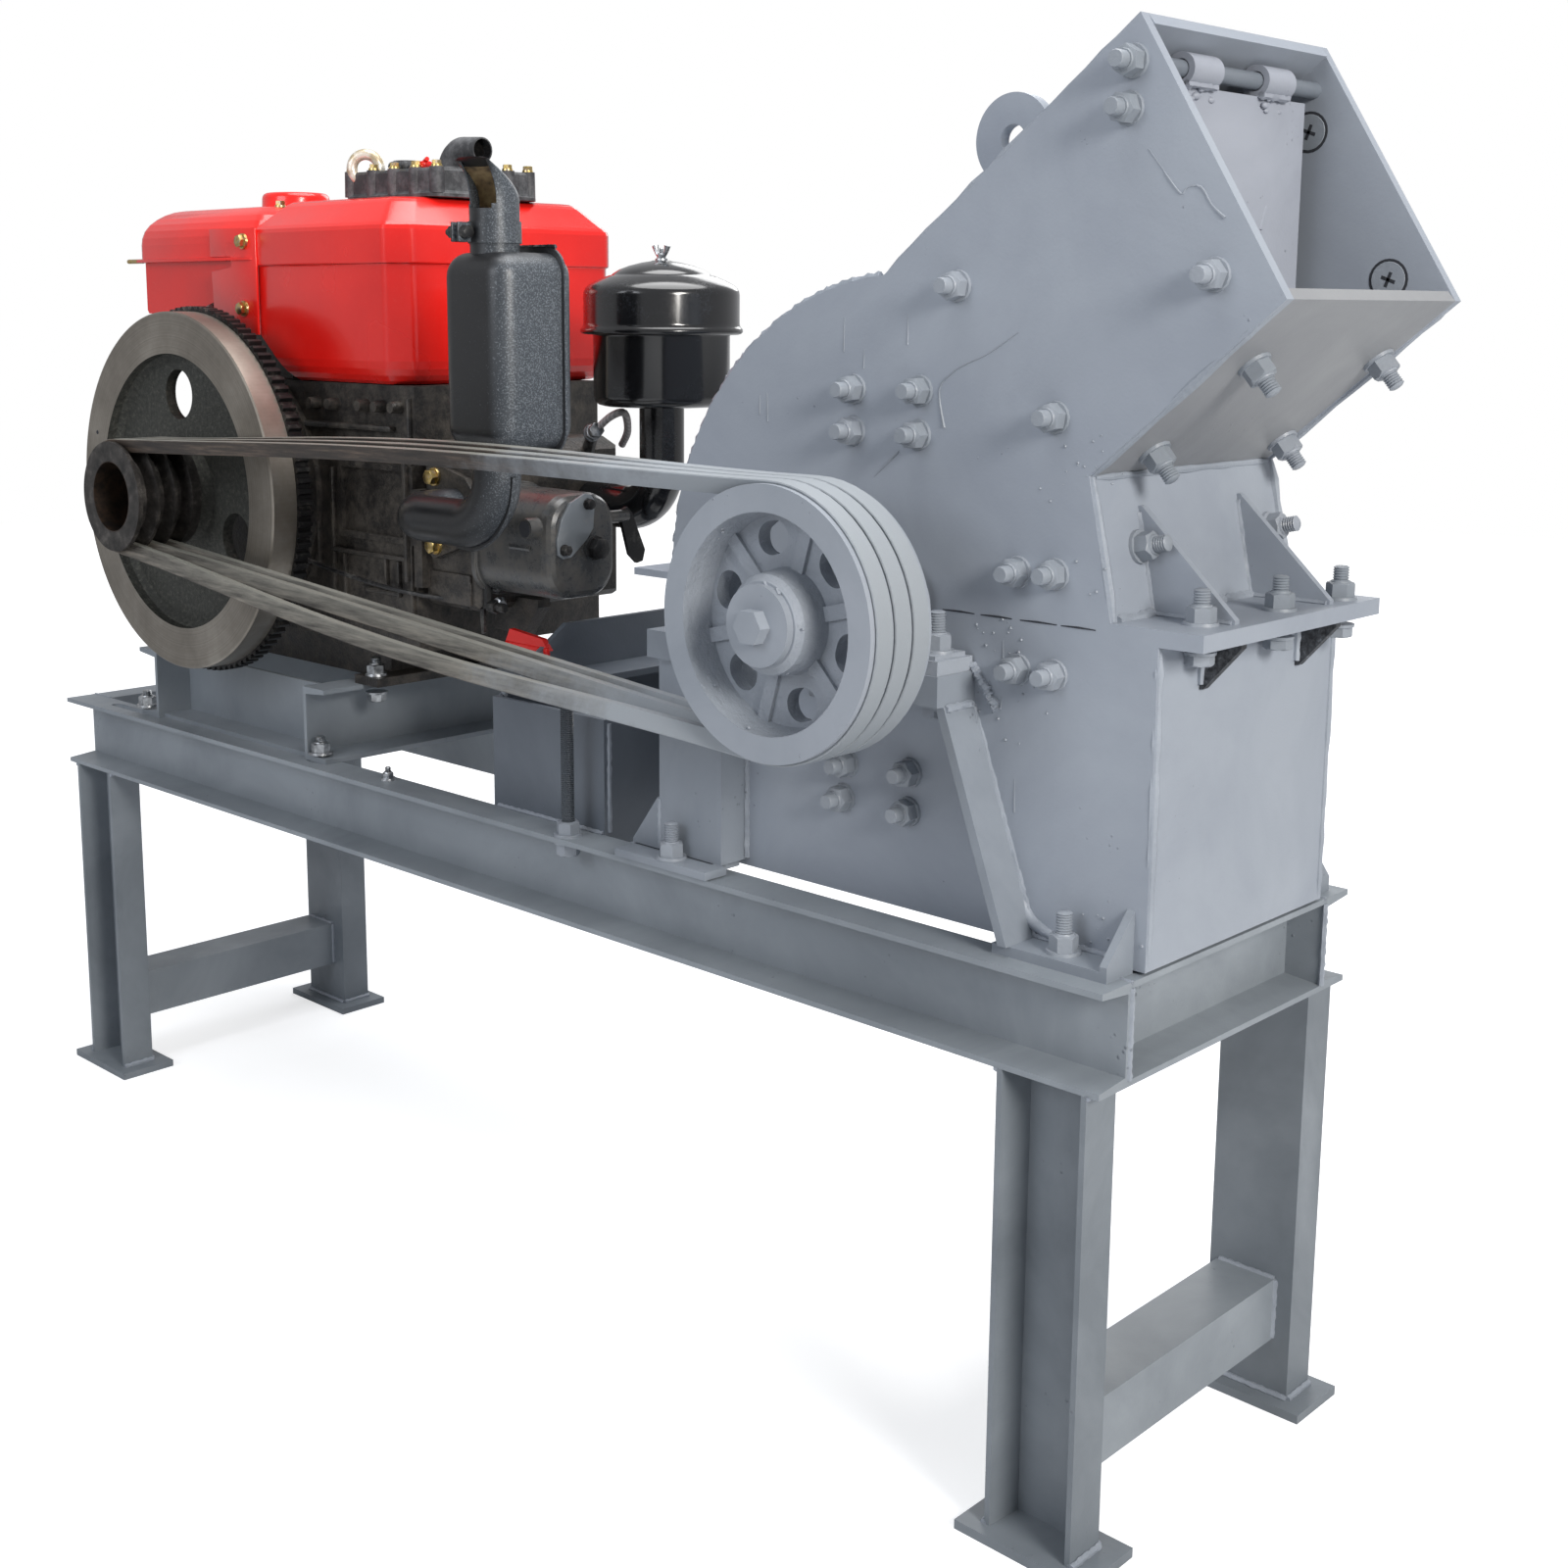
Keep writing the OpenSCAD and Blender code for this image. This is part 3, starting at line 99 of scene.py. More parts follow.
def plug(node, sockets):
    """Fills a node's sockets: one value, several in order, or by name. A hex value is a colour, and a
    node gives its first output."""
    if isinstance(sockets, (bpy.types.Node, bpy.types.NodeSocket)):
        sockets = [sockets]
    if not isinstance(sockets, dict):
        sockets = dict(zip([k for k, s in enumerate(node.inputs) if s.enabled], sockets))
    for key, value in sockets.items():
        if isinstance(value, bpy.types.Node):
            value = next(s for s in value.outputs if s.enabled)
        if isinstance(value, bpy.types.NodeSocket):
            node.id_data.links.new(value, node.inputs[key])
        else:
            node.inputs[key].default_value = linear(value) if isinstance(value, str) else value


def add_node(tree, kind, sockets=(), ramp=None, **settings):
    """Adds a node: settings are its properties, sockets what plug takes, ramp its colours by place."""
    node = tree.nodes.new("ShaderNode" + kind)
    for name, value in settings.items():
        setattr(node, name, value)
    plug(node, sockets)
    for k, (place, colour) in enumerate((ramp or {}).items()):
        stops = node.color_ramp.elements
        stop = stops[k] if k < len(stops) else stops.new(place)
        stop.position = place
        stop.color = linear(colour)
    return node


def new_material(name, **sockets):
    """A material of one Principled shader, a way to add nodes to it, the shader and object coordinates."""
    material = bpy.data.materials.new(name)
    material.use_nodes = True
    tree = material.node_tree
    shader = tree.nodes["Principled BSDF"]
    plug(shader, {key.replace("_", " "): value for key, value in sockets.items()})
    return material, partial(add_node, tree), shader, add_node(tree, "TexCoord").outputs["Object"]


world = bpy.data.worlds.new("studio")
bpy.context.scene.world = world
world.use_nodes = True
sky = world.node_tree
sky.nodes.clear()
path = add_node(sky, "LightPath")
seen = add_node(sky, "Math", (path.outputs["Is Camera Ray"], path.outputs["Is Transmission Ray"]),
                operation="MAXIMUM")
mirrored = add_node(sky, "MapRange", (path.outputs["Is Glossy Ray"], 0, 1, 0.28, 0.52))
room = add_node(sky, "Background", ("F8F9FC", mirrored))
white = add_node(sky, "Background", ("FFFFFF", 1))
mixed = add_node(sky, "MixShader", (seen, room, white))
add_node(sky, "OutputWorld", mixed)

lamps = [("key", (4.4, -1.1, 2.5), 1.5, 166, "FFFBF5"),
         ("fill", (-0.3, -4.4, 2.8), 2.6, 68, "F4F8FF"),
         ("top", (0.3, 0.3, 3.9), 3.2, 118, "FFFFFF"),
         ("rear", (-1.8, 3.6, 2.8), 2.2, 30, "FFFFFF")]
for name, place, size, power, colour in lamps:
    lamp = bpy.data.lights.new(name, "AREA")
    lamp.shape = "DISK"
    lamp.size = size
    lamp.energy = power
    lamp.color = linear(colour)[:3]
    holder = bpy.data.objects.new(name, lamp)
    aim = Vector((0, 0, 0.8)) - Vector(place)
    holder.matrix_world = Matrix.Translation(place) @ aim.to_track_quat("-Z", "Y").to_matrix().to_4x4()
    bpy.context.scene.collection.objects.link(holder)

# pale matt studio paper: a soft shadow under the object, fading to plain white further out
paper, add, shader, coords = new_material("studio_paper", Base_Color="D3D5D8", Roughness=0.95)
far = add("VectorMath", coords, operation="LENGTH")
fade = add("MapRange", (far, 1.4, 5, 0.62, 1))
camera_ray = add("LightPath").outputs["Is Camera Ray"]
glow = add("Math", (fade, camera_ray), operation="MULTIPLY")
plug(shader, {"Specular IOR Level": 0.1, "Emission Color": "FFFFFF", "Emission Strength": glow})


def mesh_of(bm, name="part"):
    """Turns what was drawn into mesh data."""
    mesh = bpy.data.meshes.new(name)
    bm.to_mesh(mesh)
    bm.free()
    return mesh


floor_mesh = bmesh.new()
bmesh.ops.create_circle(floor_mesh, cap_ends=True, segments=64, radius=9)
floor = bpy.data.objects.new("floor", mesh_of(floor_mesh, "floor"))
floor.data.materials.append(paper)
bpy.context.scene.collection.objects.link(floor)
floor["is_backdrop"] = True

# ---- Table ----
# Rolled channel bars of mild steel, arc welded into a frame with four legs and
# foot plates, then sprayed by hand with blue-grey enamel over mill scale.


def sprayed_enamel(name, coat, shade, roughness=0.42, nibs=0.25, lumps=0.0, lump_mm=5, coarse=None):
    """Alkyd enamel sprayed on by hand: satin, faintly cloudy, with orange peel, dust nibs and overspray.
    Lumps is the height in mm of the rough skin below it; coarse is a mask of where that skin is."""
    material, add, shader, coords = new_material(name)
    cloud = add("TexNoise", {"Vector": coords, "Scale": 1000 / 230, "Detail": 5, "Roughness": 0.6,
                             "Distortion": 0.5})
    tone = add("ValToRGB", cloud, {0.35: shade, 0.65: coat})
    nib = add("TexVoronoi", (coords, 1000 / 9))
    patch = add("TexNoise", (coords, 1000 / 75, 2))
    reach = add("MapRange", (patch, 0.52, 0.76, 0, nibs))
    speck = add("Math", (reach, nib), operation="SUBTRACT", use_clamp=True)
    spot = add("Math", (speck, 5), operation="MULTIPLY", use_clamp=True)
    dirt = add("Mix", (spot, tone, "6A7078"), data_type="RGBA")
    gloss = add("MapRange", (cloud, 0.3, 0.7, roughness + 0.1, roughness - 0.06))
    wave = add("TexNoise", (coords, 1000 / 60, 1))
    sheet = add("Bump", {"Height": wave, "Strength": 0.25, "Distance": 0.002})
    peel = add("TexNoise", (coords, 1000 / 3.2, 2))
    fine = add("Bump", {"Height": peel, "Strength": 0.22, "Distance": 0.0006, "Normal": sheet})
    last = add("Bump", {"Height": speck, "Strength": 0.9, "Distance": 0.004, "Normal": fine})
    if lumps:
        skin = add("TexNoise", (coords, 1000 / lump_mm, 5, 0.65))
        mask = coarse(add, coords) if coarse else 1.0
        height = add("Math", (skin, mask), operation="MULTIPLY")
        last = add("Bump", {"Height": height, "Strength": 0.8, "Distance": lumps / 1000,
                            "Normal": last})
    plug(shader, {"Base Color": dirt, "Roughness": gloss, "Normal": last})
    return material


def mottled(name, grain, ramp, **sockets):
    """A finish in the colours of one noise, which has a size in mm, a detail and a roughness."""
    material, add, shader, coords = new_material(name, **sockets)
    noise = add("TexNoise", (coords, 1000 / grain[0], *grain[1:]))
    plug(shader, {"Base Color": add("ValToRGB", noise, ramp)})
    return material, add, shader, coords, noise


def dress(material, *names):
    """Gives CAD nodes their finish."""
    for name in names:
        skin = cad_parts[name].data
        skin.materials.clear()
        skin.materials.append(material)


def piece(bm, name, material, body="plant", crease=38):
    """Turns a mesh drawn in mm from the middle of the table into a piece that rides on a body."""
    bmesh.ops.transform(bm, matrix=Matrix.Translation(table_middle) @ Matrix.Scale(0.001, 4),
            verts=bm.verts)
    bmesh.ops.recalc_face_normals(bm, faces=bm.faces)
    mesh = mesh_of(bm, name)
    mesh.materials.append(material)
    mesh.shade_smooth()
    mesh.set_sharp_from_angle(angle=math.radians(crease))
    obj = bpy.data.objects.new(name, mesh)
    bpy.context.scene.collection.objects.link(obj)
    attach(obj, body)
    return obj


def add_copy(bm, mesh, matrix):
    """Adds a copy of a mesh under a matrix."""
    copy = mesh.copy()
    copy.transform(matrix)
    bm.from_mesh(copy)
    bpy.data.meshes.remove(copy)


def stamp(bm, mesh, place, along=(0, 0, 1), turn=0.0):
    """Adds a copy of a mesh at a place, its z axis turned along a direction."""
    aim = Vector((0, 0, 1)).rotation_difference(Vector(along)).to_matrix().to_4x4()
    add_copy(bm, mesh, Matrix.Translation(place) @ aim @ Matrix.Rotation(turn, 4, "Z"))


def drum(bm, place, wide, narrow, depth, segments, turn=0, axis="X", caps=True):
    """A short cone about a place, from its wide to its narrow radius, turned off the z axis."""
    aim = Matrix.Translation(place) @ Matrix.Rotation(turn, 4, axis)
    return bmesh.ops.create_cone(bm, cap_ends=caps, segments=segments, radius1=wide, radius2=narrow,
                                 depth=depth, matrix=aim)["verts"]


def fit(bm, mesh, places, along=(0, 0, 1)):
    """Sets nuts or bolts in their places, each turned at random."""
    for place in places:
        stamp(bm, mesh, place, along, random.uniform(0, 1))


def hexagon(bm, flats, low, high):
    """A forged hexagon on the z axis, its corners turned down at the top."""
    made = drum(bm, (0, 0, (low + high) / 2), flats / 2, flats / 2, high - low, 12)
    for vert in made:
        if round(math.degrees(math.atan2(vert.co.y, vert.co.x)) / 30) % 2:
            vert.co.x /= math.cos(math.radians(30))
            vert.co.y /= math.cos(math.radians(30))
            if vert.co.z > low + 0.1:
                vert.co.z -= flats * 0.07
    top = max({f for v in made for f in v.link_faces}, key=lambda f: f.calc_center_median().z)
    bmesh.ops.inset_individual(bm, faces=[top], thickness=flats * 0.05)
    for vert in top.verts:
        vert.co.z = high


def spun(bm, profile, steps):
    """A turned shape about the z axis, from a profile of radius and height."""
    verts = [bm.verts.new((r, 0, z)) for r, z in profile]
    edges = [bm.edges.new(pair) for pair in zip(verts, verts[1:])]
    bmesh.ops.spin(bm, geom=verts + edges, axis=(0, 0, 1), cent=(0, 0, 0), steps=steps,
                   angle=2 * math.pi, use_merge=True)


def bolt_end(bm, size, low, high, pitch):
    """The end of a bolt with a chamfered tip, threaded where a pitch is given."""
    root, crest, start = size / 2 - 0.55 * pitch, size / 2, high - 1.6
    profile = [(0.01, high), (root - 0.8, high), (crest, start)]
    if pitch:
        for k in range(round((start - low) / pitch)):
            profile += [(root, start - (k + 0.5) * pitch), (crest, start - (k + 1) * pitch)]
    spun(bm, profile + [(crest, low)], 12)


def fastener(flats, height, washer, size=0, stick=0, pitch=0):
    """A nut on its washer with the bolt's end standing out of it, or a bolt head without one."""
    bm = bmesh.new()
    drum(bm, (0, 0, 1.5), washer / 2, washer / 2 - 0.6, 3, 16)
    hexagon(bm, flats, 3, 3 + height)
    if stick:
        drum(bm, (0, 0, 3.6 + height), size / 2 + 2.2, size / 2 + 1.2, 2, 12)
        bolt_end(bm, size, 3 + height, 3 + height + stick, pitch)
    bmesh.ops.remove_doubles(bm, verts=bm.verts, dist=0.02)
    return mesh_of(bm)


def ringed_pipe(bm, radius, length, segments, cuts, caps=False):
    """A pipe about the z axis, cut across into rings."""
    drum(bm, (0, 0, 0), radius, radius, length, segments, caps=caps)
    sides = [e for e in bm.edges if abs(e.verts[0].co.z - e.verts[1].co.z) > length / 2]
    bmesh.ops.subdivide_edges(bm, edges=sides, cuts=cuts)


def weld(bm, start, end, width=7, ripple=5):
    """An arc weld bead between two points: one ripple every few mm, no two the same."""
    start, end = Vector(start), Vector(end)
    length = (end - start).length
    cuts = max(1, round(length / ripple))
    bead = bmesh.new()
    ringed_pipe(bead, width / 2, length, 6, cuts, caps=True)
    for vert in bead.verts:
        ring = round((vert.co.z / length + 0.5) * (cuts + 1))
        swell = 1 + 0.12 * math.sin(2.6 * ring) + random.uniform(-0.2, 0.2)
        vert.co.x *= swell
        vert.co.y *= swell
    stamp(bm, mesh_of(bead), (start + end) / 2, end - start)


frame_enamel = sprayed_enamel("enamel_on_channel_steel", "8D949B", "7A8188", roughness=0.42, nibs=0.28)
dress(frame_enamel, "table_beam_front", "table_beam_rear", "table_crossbeams", "leg_braces")
# the legs: the same enamel in a darker coat, painted shade under the table
leg_shade_enamel = sprayed_enamel("leg_enamel_darkened_as_painted_shade", "7F868D", "6A7178", roughness=0.44, nibs=0.35)
dress(leg_shade_enamel, "leg_front_left", "leg_front_right", "leg_rear_left", "leg_rear_right")
# enamel on the rippled skin of a weld: thicker and glossier, dirt kept in the ripples
weld_enamel = sprayed_enamel("enamel_on_weld_metal", "9AA1AB", "858C96", roughness=0.38, nibs=0.3,
        lumps=1.2)

beads = bmesh.new()
for x, side in [(x, side) for x in (-926, 835) for side in (-1, 1)]:
    web, tip = side * 180, side * 228
    for z, width in ((11, 8), (477, 7)):
        weld(beads, (x, web - side, z), (x + 100, web - side, z), width)
        weld(beads, (x - 1, web, z), (x - 1, tip, z), width)
        weld(beads, (x + 101, web, z), (x + 101, tip, z), width)
    brace = -922 if x < 0 else 845
    weld(beads, (brace + 70, side * 179, 76), (brace + 70, side * 179, 143), 6)
    weld(beads, (brace + 2, side * 179, 144), (brace + 69, side * 179, 144), 6)
for x, y in [(x, y) for x in (-948, 948) for y in (-180, 180)]:
    weld(beads, (x, y, 484), (x, y, 572), 6)
    weld(beads, (x, y, 577), (x - math.copysign(46, x), y, 577), 5)
piece(beads, "table_welds", weld_enamel)

# ---- Crusher housing ----
# Housing of cut steel plate, welded and bolted, split at the height of the
# rotor; sprayed with the same enamel in a thicker coat that has run in places.
housing_enamel = sprayed_enamel("enamel_on_steel_plate", "979EA8", "8C939E", roughness=0.4, nibs=0.2)
dress(housing_enamel, "base_side_front", "base_side_rear", "base_ends", "split_flanges",
        "top_side_front",
      "top_side_rear", "top_shell", "top_end_wall", "lifting_lug")
# the chute floor: a darker, browner coat than the housing's, painted shade under the chute
chute_shade_enamel = sprayed_enamel("chute_floor_enamel_darkened_as_painted_shade", "8B8D90", "808286", roughness=0.44,
        nibs=0.2)
dress(chute_shade_enamel, "chute_floor")


def tube(bm, course, radius, segments=8, steps=5):
    """A round rod, pipe or run along a smooth course of points; radius is one value or one per point."""
    points = [Vector(p) for p in course]
    radii = radius if isinstance(radius, (list, tuple)) else [radius] * len(points)
    line = []
    for i in range(len(points) - 1):
        a, b, c, d = points[max(i - 1, 0)], points[i], points[i + 1], points[min(i + 2,
                len(points) - 1)]
        for k in range(steps):
            t = k / steps
            spot = 0.5 * (2 * b + (c - a) * t + (2 * a - 5 * b + 4 * c - d) * t * t
                          + (3 * b - a - 3 * c + d) * t ** 3)
            line.append((spot, radii[i] + (radii[i + 1] - radii[i]) * t))
    line.append((points[-1], radii[-1]))
    last = []
    for i, (spot, r) in enumerate(line):
        way = line[min(i + 1, len(line) - 1)][0] - line[max(i - 1, 0)][0]
        aim = Matrix.Translation(spot) @ way.to_track_quat("Z", "Y").to_matrix().to_4x4()
        ring = bmesh.ops.create_circle(bm, cap_ends=i in (0, len(line) - 1), segments=segments,
                radius=r,
                                       matrix=aim)["verts"]
        edges = list({e for v in ring for e in v.link_edges})
        if last:
            bmesh.ops.bridge_loops(bm, edges=last + edges)
        last = edges


def plate(bm, outline, y0, y1):
    """A flat plate with an outline in X and Z, from y0 to y1."""
    face = bm.faces.new([bm.verts.new((x, y0, z)) for x, z in outline])
    grown = bmesh.ops.extrude_face_region(bm, geom=[face])["geom"]
    bmesh.ops.translate(bm, vec=(0, y1 - y0, 0),
            verts=[g for g in grown if isinstance(g, bmesh.types.BMVert)])


def rounded(bm, edges, radius, segments=2):
    """Rounds edges."""
    bmesh.ops.bevel(bm, geom=edges, offset=radius, segments=segments, profile=0.5, affect="EDGES",
                    material=-1)


def rounded_cube(bm, matrix, radius, segments=2):
    """A unit cube under a matrix, all its edges rounded."""
    made = bmesh.ops.create_cube(bm, size=1, matrix=matrix)["verts"]
    rounded(bm, list({e for v in made for e in v.link_edges}), radius, segments)


def block(bm, low, high, radius=2.0, segments=2):
    """A rounded block between two corners."""
    low, high = Vector(low), Vector(high)
    rounded_cube(bm, Matrix.Translation((low + high) / 2) @ Matrix.Diagonal((*(high - low), 1)),
            radius, segments)


def smear(bm, start, end, size):
    """A weld filled over with thick paint: a fat, soft and uneven run."""
    start, end = Vector(start), Vector(end)
    count = max(2, round((end - start).length / 22))
    sizes = [size * random.uniform(0.75, 1.2) for k in range(count + 1)]
    sizes[0] = sizes[-1] = size * 0.4
    tube(bm, [start.lerp(end, k / count) for k in range(count + 1)], sizes, 8, 3)


def around(centre, radius, turn):
    """The point in X and Z at an angle in radians on a circle."""
    return centre[0] + radius * math.cos(turn), centre[1] + radius * math.sin(turn)


rotor_axis = Vector((650, 890))
apex, lip, throat, wall_foot = (902.6, 1423.5), (1052.5, 1187.4), (868.9, 1029), (897, 898)
roof_foot = (625, 1209)
back = [around(rotor_axis, 320, math.radians(a)) for a in range(180, 90, -6)]
beads = bmesh.new()
for y, out in ((-155, -1), (163, 1)):
    for a, b in ((wall_foot, throat), (throat, lip), (apex, roof_foot)):
        smear(beads, (a[0], y, a[1]), (b[0], y, b[1]), 5)
    for a, b in zip(back, back[1:]):
        weld(beads, (a[0], y, a[1]), (b[0], y, b[1]), 9, 8)
    smear(beads, (946, y, 582), (946, y, 880), 5)
    smear(beads, (768, y - out * 2, 596), (792, y - out * 2, 590), 7)
    weld(beads, (330, y, 584), (330, y, 880), 8)
for y in (-84, 92):
    for side in (-4, 4):
        weld(beads, (899, y + side, 899), (978, y + side, 899), 6)
        weld(beads, (896, y + side, 900), (877, y + side, 992), 6)
        weld(beads, (949, y + side, 880), (949, y + side, 840), 9, 7)
weld(beads, (897, -148, 899), (897, 156, 899), 10)
smear(beads, (869, -150, 1027), (869, 158, 1027), 4)
weld(beads, (330, -148, 891), (330, 156, 891), 6)
for y in (-3, 11):
    weld(beads, (667, y, 1242), (756, y, 1312), 8)
piece(beads, "housing_welds", weld_enamel)

# the lower gussets are torch-cut plate that the spray gun missed: blue-black scale with slag on it
scale, add, shader, coords, grain = mottled("mill_scale_on_torch_cut_plate", (7, 5, 0.7), {
    0.38: "24262A", 0.6: "4A4D52", 0.72: "7D848C"}, Roughness=0.62, Metallic=0.3)
plug(shader, {"Normal": add("Bump", {"Height": grain, "Strength": 0.9, "Distance": 0.0025})})
torn = bmesh.new()
for y in (-84, 92):
    plate(torn, [(948.4, 881.6), (989.5, 881.6), (989.4, 877.5), (952, 835.4), (948.4, 835)],
            y - 4.6, y + 4.6)
piece(torn, "lower_gusset_scale", scale)

# M16 bolts: countersunk heads inside, nuts and washers outside, all sprayed over with the housing
bolt_enamel = sprayed_enamel("enamel_on_nuts_and_bolts", "969CA5", "7F868E", roughness=0.36, nibs=0.15,
                             lumps=0.4, lump_mm=3)
painted_nut = fastener(24, 13, 31, 16, 13)
threaded_nut = fastener(24, 14, 33, 16, 16, 2.6)
side_bolts = [(897, 1348), (900, 1387), (988, 1206), (716, 1198), (589, 1098), (673, 1099), (589, 1057),
              (672, 1057), (831, 1080), (794, 935), (836, 937), (797, 843), (838, 843), (587, 718),
              (670, 722), (583, 681), (669, 682)]
walls = ((-160, -1), (168, 1))  # the outer face of each side plate, and the way out of it
nuts = bmesh.new()
for x, z in side_bolts:
    for wall, out in walls:
        fit(nuts, painted_nut, [(x, wall, z)], (0, out, 0))
piece(nuts, "side_plate_nuts", bolt_enamel)
nuts = bmesh.new()
fit(nuts, threaded_nut, [(x, y, z) for x, z in ((990, 1130.6), (893, 1049.2)) for y in (-92, 141)],
    (0.643, 0, -0.766))
fit(nuts, threaded_nut, [(883.6, y, 961) for y in (-97, 140)], (0.978, 0, 0.21))
for x, y in ((958, -107), (964, 23), (969, 132)):
    fit(nuts, threaded_nut, [(x, y, 898)])
    fit(nuts, fastener(24, 10, 31), [(x, y, 874)], (0, 0, -1))
fit(nuts, threaded_nut, [(299, y, 890) for y in (-110, 4, 118)])
piece(nuts, "split_and_chute_nuts", bolt_enamel)

# countersunk heads flush with the inner faces: a turned rim, a filled groove round it, a cross slot
# dark dirt for grooves and joints; also used below as painted shade in the breather's bore and the balance
# holes
groove, add, shader, coords = new_material("old_dirt_in_grooves_and_painted_shade_in_holes", Base_Color="2A2D33", Roughness=0.9)
crumb = add("TexNoise", (coords, 1000 / 2, 3))
plug(shader, {"Normal": add("Bump", {"Height": crumb, "Strength": 0.6, "Distance": 0.0006})})
heads, rims = bmesh.new(), bmesh.new()
for x, z in side_bolts[2:5] + side_bolts[8:9] + side_bolts[:1]:
    for y, face in ((-148, 1), (156, -1)):
        for high, radius, where in ((0.5, 20, rims), (1.0, 17.5, heads)):
            drum(where, (x, y + face * high / 2, z), radius, radius - 0.6, high, 24,
                    -face * math.pi / 2)
        for turn in (0.35, 0.35 + math.pi / 2):
            aim = Matrix.Translation((x, y + face, z)) @ Matrix.Rotation(turn, 4, "Y")
            rounded_cube(rims, aim @ Matrix.Diagonal((15, 0.4, 3.4, 1)), 0.15, 1)
piece(heads, "countersunk_heads", bolt_enamel)
piece(rims, "countersunk_grooves", groove)

# runs where the coat was too thick, each ending in a drop, and weld spatter under the paint
runs = bmesh.new()
for line in ([(918, 1313), (934, 1294), (938, 1289), (952, 1274), (958, 1279), (971, 1279), (982, 1264),
              (995, 1253)],
             [(787, 1156), (764, 1142), (747, 1133), (728, 1126), (710, 1116), (696, 1100),
             (703, 1065)],
             [(617, 1013), (631, 1025), (648, 1040)]):
    sizes = [0.4] + [random.uniform(0.4, 1.0) for k in line[2:]] + [1.5]
    tube(runs, [(x, -160.1, z) for x, z in line], sizes, 6, 3)
for k in range(26):
    x, z = random.choice([(600, 1180), (560, 930), (760, 800), (905, 640), (940, 1180), (470, 1120)])
    x, z, length = x + random.gauss(0, 45), z + random.gauss(0, 40), random.uniform(8, 34)
    if math.dist((x, z), rotor_axis) < 290:
        tube(runs, [(x, -160.1, z), (x + random.uniform(-2, 2), -160.1, z - length)], [0.3, 0.8], 6, 2)
for k in range(90):
    x, z = random.choice([(790, 815), (770, 870), (420, 880), (380, 640), (900, 600), (880, 930),
            (860, 1040)])
    size = random.uniform(0.6, 1.9)
    spot = Matrix.Translation((x + random.gauss(0, 22), -160, z + random.gauss(0, 22)))
    bmesh.ops.create_icosphere(runs, subdivisions=1, radius=size, matrix=spot)
piece(runs, "paint_runs_and_spatter", bolt_enamel)

# the split: a dark hairline between the upper and the lower side plates, paint bridging it in
# places, and none where the shaft goes through
split = bmesh.new()
for y in (-160.1, 168.1):
    for start in range(338, 890, 46):
        end = min(start + random.uniform(36, 46), 893)
        if start < 680 and end > 620:
            continue
        tube(split, [(start, y, 890), ((start + end) / 2, y, 890.4), (end, y, 890)],
                [0.5, 1.0, 0.5], 5, 2)
piece(split, "split_line", groove)

# ---- Feed flap ----
# A plate that hangs from a round bar on two tube hinges welded to its top
# edge; the bar and the tubes are sprayed too, thinner and brighter where rubbed.
flap_enamel = sprayed_enamel("enamel_on_rubbed_flap", "9EA3AE", "8E939E", roughness=0.46, nibs=0.3)
rod_enamel = sprayed_enamel("enamel_on_drawn_bar", "7B828B", "666D76", roughness=0.38, nibs=0.15)
dress(flap_enamel, "feed_flap")
dress(rod_enamel, "flap_rod")
blobs = bmesh.new()
for y in (-61, 69):
    for k in range(16):
        size = random.uniform(3, 5)
        spot = (900 + random.choice((-3.5, 3.5)) + random.uniform(-2, 2), y + random.uniform(-24, 24),
                1372 - random.uniform(0, 13))
        bmesh.ops.create_icosphere(blobs, subdivisions=2, radius=size, matrix=Matrix.Translation(spot)
                                   @ Matrix.Diagonal((0.75, 1.3, 0.8, 1)))
    for x in (893, 907):
        weld(blobs, (x, y - 25, 1374), (x, y + 25, 1374), 7)
tube(blobs, [(903, 71, 1275), (903, 66, 1265), (903, 61, 1252)], [0.6, 1.2, 1.8], 6, 3)
piece(blobs, "flap_hinge_welds", flap_enamel, body="flap")

# ---- Bearing brackets ----
# Each bearing stands on a bracket of folded plate: a boxed top beam, a post
# with a gusset on the engine side and a slanting leg, all welded to the housing.
bracket_enamel = sprayed_enamel("enamel_on_bracket_plate", "8B929B", "7B828B", roughness=0.4, nibs=0.3)
cast_enamel = sprayed_enamel("enamel_on_cast_bearings", "A0A6AF", "8D949D", roughness=0.44, lumps=1.2)
dress(bracket_enamel, "bearing_support_front", "bearing_support_rear")
dress(cast_enamel, "bearings")
beads = bmesh.new()
for wall, out in walls:
    skin = wall + out
    for a, b, width in (((352, 837), (745, 837), 8), ((352, 805), (735, 805), 7),
                        ((746, 802), (825, 590), 8), ((446, 590), (446, 804), 7)):
        weld(beads, (a[0], skin, a[1]), (b[0], skin, b[1]), width)
    weld(beads, (350, wall + out * 39, 590), (350, wall + out * 39, 645), 6)
    for x in (310, 810):
        weld(beads, (x, skin, 589), (x + 116, skin, 589), 7)
    weld(beads, (748, wall + out * 6, 804), (748, wall + out * 46, 804), 8)
    weld(beads, (737, wall + out * 47, 803), (737, wall + out * 6, 803), 7)
    for k in range(9):
        x, z = 744 + 3.4 * k, 842 - 4.6 * k
        weld(beads, (x, wall + out * 2, z), (x + random.uniform(3, 8), wall + out * 2, z - 5), 9, 4)
    tube(beads, [(806, skin, 640), (818, skin, 606), (850, skin, 592)], [3, 7, 4], 10, 4)
piece(beads, "bracket_welds", weld_enamel)
feet = bmesh.new()
for low, high in ((-232, -199), (207, 240)):
    foot = Matrix.Translation((382, (low + high) / 2, 583.4)) @ Matrix.Diagonal((142, high - low,
            9.2, 1))
    rounded_cube(feet, foot, 1.2)
piece(feet, "bracket_foot_plates", bracket_enamel)
nuts = bmesh.new()
long_stud = fastener(24, 15, 34, 16, 22, 2.6)
